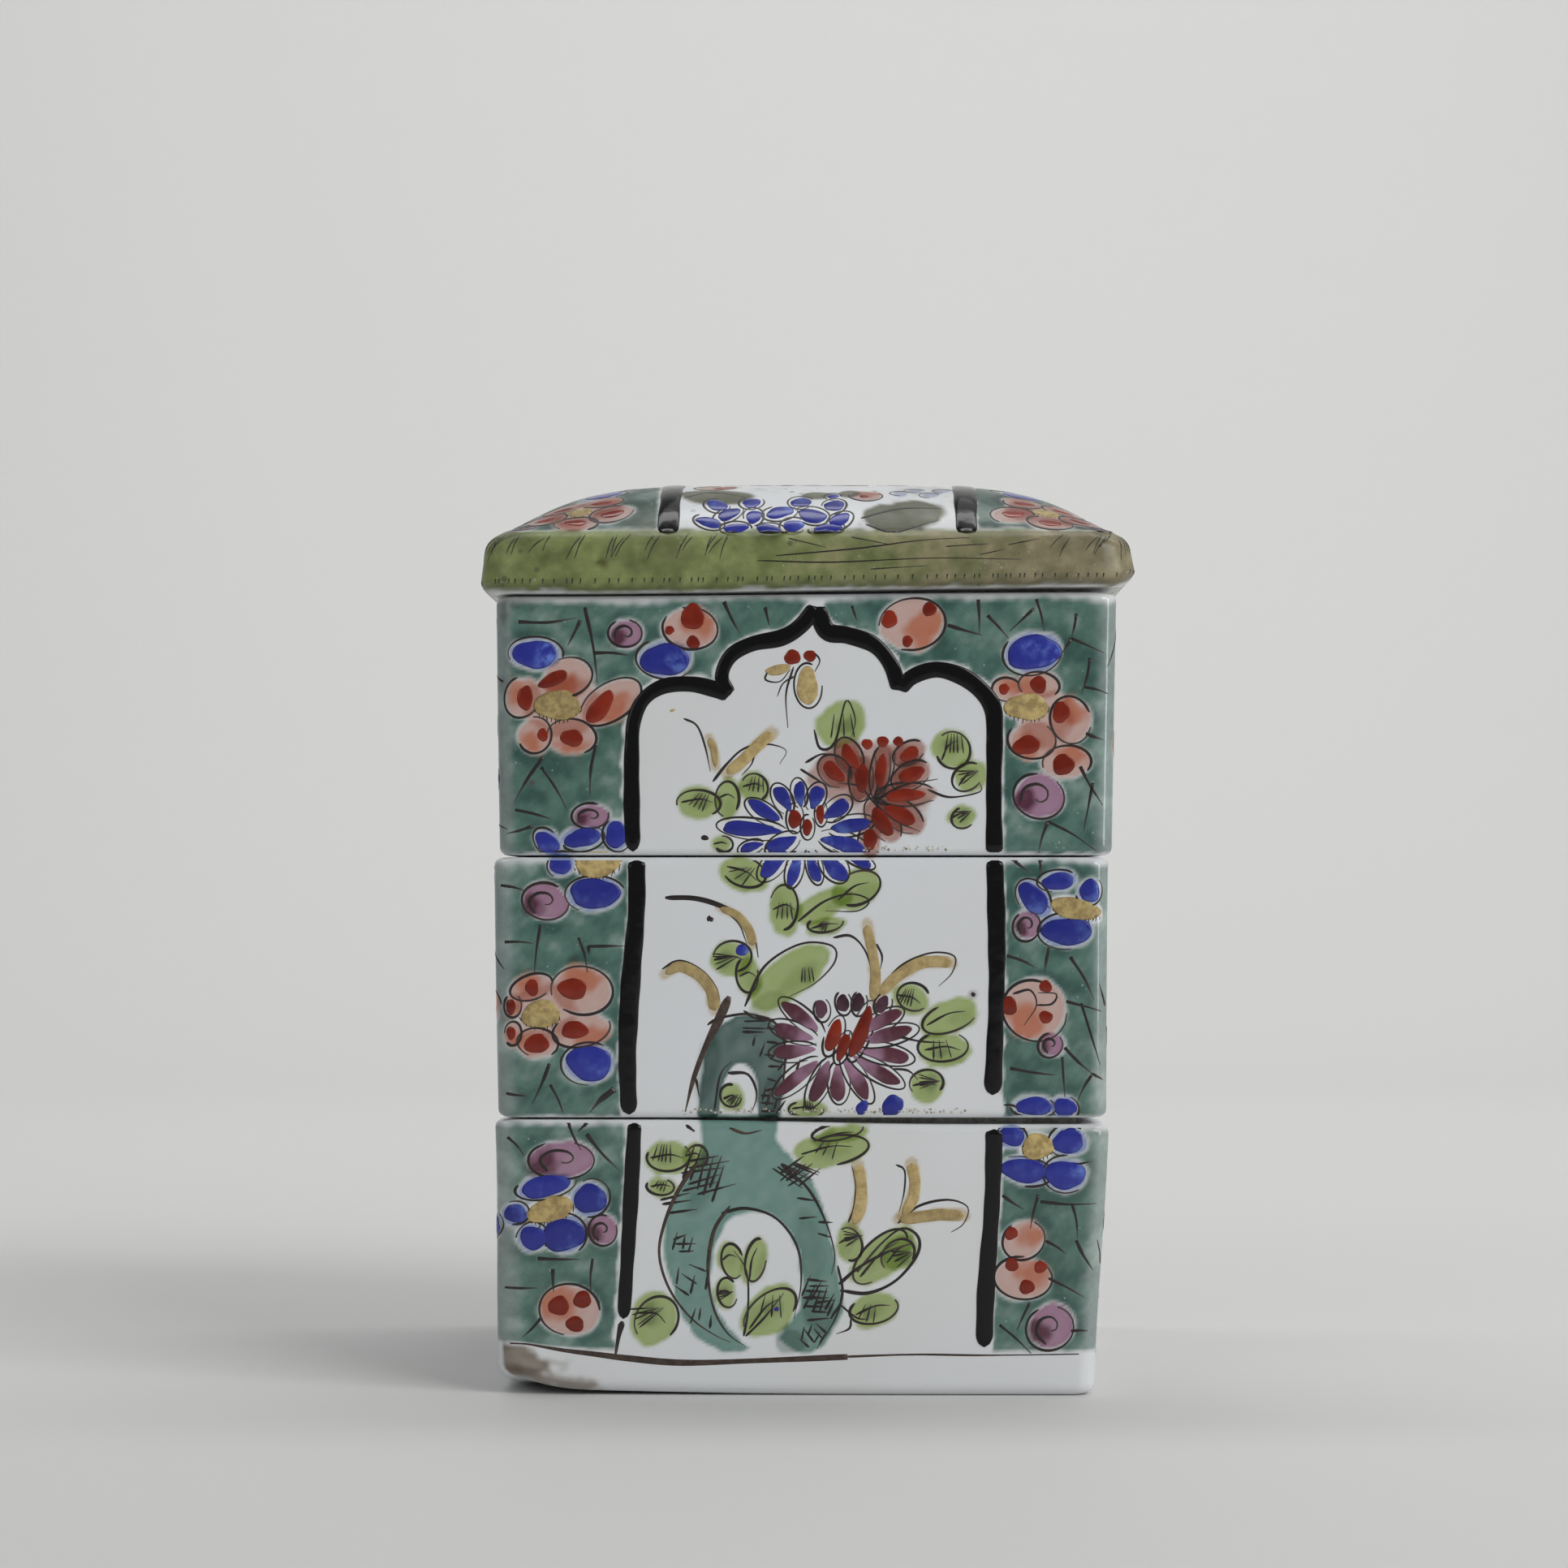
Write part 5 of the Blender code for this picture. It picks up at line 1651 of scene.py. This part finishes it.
def paint_right():
    """Peonies over a leaning branch."""
    face = Face(RIGHT)
    paint_side_arch(face, True)
    over_the_arch(face)
    paint_border(face, -1)
    paint_border(face, 1)
    butterfly(face, 8.0, 112.0)
    face.ink((-20.0, 9.0), (-12.0, 26.0), (-13.0, 44.0), (-5.0, 62.0), (2.0, 78.0), (-2.0, 92.0), width=1.5, end=0.5,
             kind="brown")
    face.ink((-12.6, 30.0), (-2.0, 36.0), (8.0, 35.0), width=0.9, end=0.3, kind="brown")
    face.ink((-4.0, 64.0), (8.0, 68.0), (17.0, 66.0), width=0.9, end=0.3, kind="brown")
    face.wash("rust", ellipse(-8.0, 99.0, 9.0, 7.5, 10), 0.85, 2.2)
    chrysanthemum(face, "rust", -8.0, 98.0, 11.0, 13)
    chrysanthemum(face, "cobalt", 14.0, 88.0, 10.5, 15)
    chrysanthemum(face, "violet", 12.5, 52.0, 12.0, 14)
    coral_flower(face, -12.0, 74.0, 6.2, 6)
    for u, w, size, lean in ((-18.0, 52.0, 12.0, 1.0), (6.0, 68.0, 11.0, 1.0), (8.0, 22.0, 14.0, 1.0),
                             (-16.0, 12.0, 12.0, 1.0), (20.0, 98.0, 9.0, -1.0), (-20.0, 84.0, 9.0, 1.0)):
        spray(face, u, w, size, lean)
    chrysanthemum(face, "cobalt", 4.0, 13.0 + 4.0, 8.5, 13)
    for u, w in ((22.0, 36.0), (25.0, 58.0), (-23.0, 36.0), (20.5, 74.0)):
        face.leaf(u, w, 3.4, 2.3, face.chance.uniform(0, 90))
    paint_ground_line(face, 46.0)
    return face


def paint_back():
    """A rock to the right, and flowers growing up to the left of it."""
    face = Face(BACK)
    paint_side_arch(face, False)
    over_the_arch(face)
    paint_border(face, -1)
    paint_border(face, 1)
    pierced_rock(face, 9.0, 7.5, 62.0, 14.0)
    butterfly(face, -12.0, 110.0)
    face.wash("rust", ellipse(10.0, 96.0, 10.0, 7.5, -10), 0.85, 2.2)
    chrysanthemum(face, "rust", 10.0, 96.0, 11.5, 13)
    chrysanthemum(face, "cobalt", -10.5, 88.0, 11.0, 15)
    chrysanthemum(face, "violet", -11.0, 56.0, 12.0, 14)
    for u, w, size, lean in ((-4.0, 66.0, 13.0, 1.0), (12.0, 68.0, 11.0, 1.0), (-20.0, 28.0, 13.0, 1.0),
                             (-10.0, 9.0, 12.0, -1.0), (20.0, 104.0, 7.0, -1.0), (-20.0, 70.0, 9.0, 1.0)):
        spray(face, u, w, size, lean)
    coral_flower(face, -14.0, 36.0, 5.2, 6)
    for u, w in ((25.0, 52.0), (25.5, 76.0), (-24.0, 100.0), (24.0, 34.0)):
        face.leaf(u, w, 3.2, 2.4, face.chance.uniform(0, 90))
    paint_ground_line(face, 46.0)
    return face


def paint_left():
    """A rock to the left, with tall grass and chrysanthemums."""
    face = Face(LEFT)
    paint_side_arch(face, True)
    over_the_arch(face)
    paint_border(face, -1)
    paint_border(face, 1)
    pierced_rock(face, -9.0, 7.5, 50.0, 13.0)
    butterfly(face, 1.0, 115.0)
    chrysanthemum(face, "violet", -10.0, 96.0, 11.5, 14)
    face.wash("rust", ellipse(12.0, 78.0, 10.0, 7.5, 15), 0.85, 2.2)
    chrysanthemum(face, "rust", 12.0, 78.0, 11.5, 13)
    chrysanthemum(face, "cobalt", -8.0, 64.0, 11.0, 15)
    coral_flower(face, 14.0, 33.0, 5.8, 6)
    for u, w, size, lean in ((12.0, 92.0, 12.0, -1.0), (-20.0, 76.0, 10.0, 1.0), (8.0, 50.0, 13.0, 1.0),
                             (14.0, 9.0, 13.0, 1.0), (-22.0, 42.0, 9.0, 1.0)):
        spray(face, u, w, size, lean)
    for u, w in ((24.0, 62.0), (-25.0, 60.0), (24.5, 100.0), (25.0, 20.0)):
        face.leaf(u, w, 3.2, 2.4, face.chance.uniform(0, 90))
    paint_ground_line(face, 46.0)
    return face


# ---------------------------------------------------------------- the lid's painting

def paint_rim(face, bare=(0.0, 0.0)):
    """Ink hatches under the rim's upper edge, with a bare stretch, and short ticks along its lower edge."""
    chance = face.chance
    u = -50.0
    while u < 50.0:
        strokes = chance.randint(2, 6)
        for _ in range(strokes):
            long = chance.uniform(2.2, 4.4)
            lean = chance.uniform(-2.6, -1.0)
            high = LID.top - chance.uniform(0.6, 1.4)
            if not bare[0] < u < bare[1]:
                face.ink((u, high), (u + lean * 0.6, high - long * 0.5), (u + lean, high - long), width=0.2, end=0.1)
            u += chance.uniform(0.5, 1.1)
        u += chance.uniform(1.5, 5.5)
    u = -50.0
    while u < 50.0:
        face.ink((u, LID.bottom + 2.2), (u - 0.1, LID.bottom + 1.4), width=0.18, end=0.1)
        u += chance.uniform(0.7, 2.4)


def paint_front_rim(face):
    paint_rim(face, (-9.0, 38.0))
    face.spot("stain_and_shadow", -33.0, 133.4, 1.2, 0.9, 0, 0.9, 1.2)
    face.ink((-5.0, 134.4), (8.0, 135.6), (18.0, 137.0), (26.0, 137.5), width=0.26, end=0.12)
    face.ink((-8.0, 133.6), (4.0, 133.2), (20.0, 133.8), (34.0, 133.5), width=0.24, end=0.12)
    for u, w, long, rise in ((-3.0, 137.4, 6.0, -1.6), (7.0, 137.6, 6.5, -1.4), (22.0, 135.9, 7.0, 0.5),
                             (27.5, 134.4, 4.0, 1.0), (10.0, 131.9, 9.0, 0.5), (32.0, 136.2, 5.0, 1.1)):
        face.ink((u, w), (u + long, w + rise), width=0.18, end=0.1)


def lid_petal(face, kind, x, y, rx, ry, tilt=0.0):
    face.dab(kind, x, y, rx, ry, tilt)
    face.loop(x, y, rx + 0.35, ry + 0.35, tilt, face.chance.uniform(0, 360), 280, 0.34)


def paint_dome():
    """The top: a white panel with blue flowers and leaves between two black bands, green outside."""
    face = Face(TOP)
    chance = face.chance
    left, right = -22.3, 25.5
    face.panel = [(left, -60.0), (left, 60.0), (right, 60.0), (right, -60.0)]
    for x in (left, right):
        face.band((x, -50.6), (x + 0.2, -30.0), (x - 0.2, 0.0), (x, 30.0), (x, 50.4), half=1.85, tips=(1.4, 1.4))
    # the panel's near end, which shows from the front
    for x, y, rx, ry, tilt in (
        (-15.8, -48.3, 2.3, 1.0, -14), (-12.6, -46.6, 2.2, 1.2, 35), (-11.4, -49.4, 2.1, 0.9, 4), (-8.6, -47.2, 1.5, 1.3, 80),
        (-6.2, -49.6, 2.2, 0.9, -6), (-4.4, -46.2, 2.4, 1.4, 15), (-2.2, -49.0, 1.8, 1.1, 12), (0.8, -47.0, 2.6, 1.5, -18),
        (3.2, -49.6, 2.6, 0.9, 8), (5.2, -47.8, 2.0, 1.2, 30), (-9.0, -43.6, 1.6, 1.6, 60), (-1.0, -43.4, 1.6, 1.8, 100),
        (-14.6, -44.2, 2.0, 1.5, 130), (4.4, -44.4, 1.8, 1.6, 50),
    ):
        lid_petal(face, "cobalt", x, y, rx, ry, tilt)
    face.spot("olive", -14.6, -41.0, 6.0, 3.2, -8, 0.95, 1.2)
    face.ink((-20.0, -41.6), (-15.6, -39.2), (-10.0, -41.4), width=0.4)
    face.spot("olive", 15.6, -46.6, 6.6, 3.4, 8, 0.95, 1.2)
    face.ink((8.6, -47.6), (15.0, -45.4), (21.6, -45.2), width=0.42)
    face.ink((9.4, -48.8), (14.0, -50.0), (21.0, -48.0), width=0.36)
    face.spot("olive", 1.6, -40.8, 2.6, 1.5, 10, 0.9, 0.8)
    face.spot("olive", 6.6, -40.2, 1.9, 1.7, 60, 0.9, 0.8)
    lid_petal(face, "cobalt", 4.2, -41.2, 1.0, 1.1)
    face.coral_petal(9.6, -41.0, 2.6, 2.0, 0, (9.2, -41.2, 0.8))
    face.coral_petal(-15.0, -35.6, 3.2, 2.2, 10, (-14.4, -35.8, 1.0))
    for x, y in ((15.0, -40.0), (17.6, -38.4), (20.0, -40.6), (22.0, -38.0)):
        face.spot("pale_blue", x, y, 1.5, 1.1, chance.uniform(0, 90), 0.8, 0.9)
        face.loop(x, y, 1.6, 1.2, 0, 20, 250, 0.26)
    # the flowers further in
    chrysanthemum(face, "cobalt", -3.0, -20.0, 12.0, 16)
    face.wash("rust", ellipse(8.0, 8.0, 10.5, 8.0, 20), 0.85, 2.2)
    chrysanthemum(face, "rust", 8.0, 8.0, 12.0, 14)
    chrysanthemum(face, "violet", -8.0, 30.0, 12.0, 15)
    for x, y, size, lean in ((10.0, -32.0, 13.0, -1.0), (-14.0, -10.0, 13.0, 1.0), (12.0, 22.0, 13.0, 1.0), (-14.0, 8.0, 11.0, 1.0)):
        spray(face, x, y, size, lean)
    butterfly(face, 15.0, -8.0)
    for k in range(6):
        lid_petal(face, "cobalt", -14.0 + k * 6.0, 47.0 + chance.uniform(-0.8, 0.8), 2.1, 1.2, chance.uniform(-30, 30))
    # the green sides
    for side, middle in ((-1, -36.8), (1, 38.6)):
        near = -44.6
        face.spot("blush", middle, near, 6.5, 3.6, 0, 0.9, 1.6)
        for x, y, rx, ry, tilt in ((-5.4, -1.4, 3.6, 2.0, 12), (0.4, -3.2, 3.4, 1.7, -6), (5.6, -0.6, 3.4, 2.0, 8),
                                   (2.8, 3.0, 3.2, 2.2, 0), (-3.4, 3.0, 3.2, 2.2, 0)):
            x = middle + side * x
            face.coral_petal(x, near + y, rx, ry, tilt, (x, near + y, rx * 0.55, ry * 0.5, tilt))
        face.gold(middle, near, 2.4, 1.5)
        face.violet_ball(middle + side * 8.6, -47.6, 1.7, 1.3)
        face.violet_ball(middle + side * 9.4, -40.8, 2.0, 2.2)
        face.blue_petal(middle - side * 3.4, -36.4, 3.4, 2.6, 10)
        blue_flower(face, middle + 1.0, -22.0, 5.6)
        face.violet_ball(middle - 4.0, -9.6, 3.2)
        coral_flower(face, middle + side * 1.5, 4.0, 5.6)
        coral_ball(face, middle - 1.5, 19.5, 4.2)
        blue_flower(face, middle, 33.0, 5.4)
        face.violet_ball(middle + side * 5.5, 43.6, 2.8)
        taken = [(middle, near, 10.0), (middle, -36.4, 5.0), (middle + 1.0, -22.0, 9.0), (middle - 4.0, -9.6, 3.4),
                 (middle, 4.0, 9.0), (middle - 1.5, 19.5, 4.4), (middle, 33.0, 9.0), (middle + side * 5.5, 43.6, 3.0)]
        low, high = sorted((side * 28.5, side * 49.0))
        scatter_cracks(face, low, high, -49.0, 49.0, taken)
    return face


def paint_walls():
    faces = [paint_front(), paint_right(), paint_back(), paint_left()]
    paint_front_rim(faces[0])
    for face in faces[1:]:
        paint_rim(face)
    return faces


build_object()
add_camera()
add_lights()
add_floor()
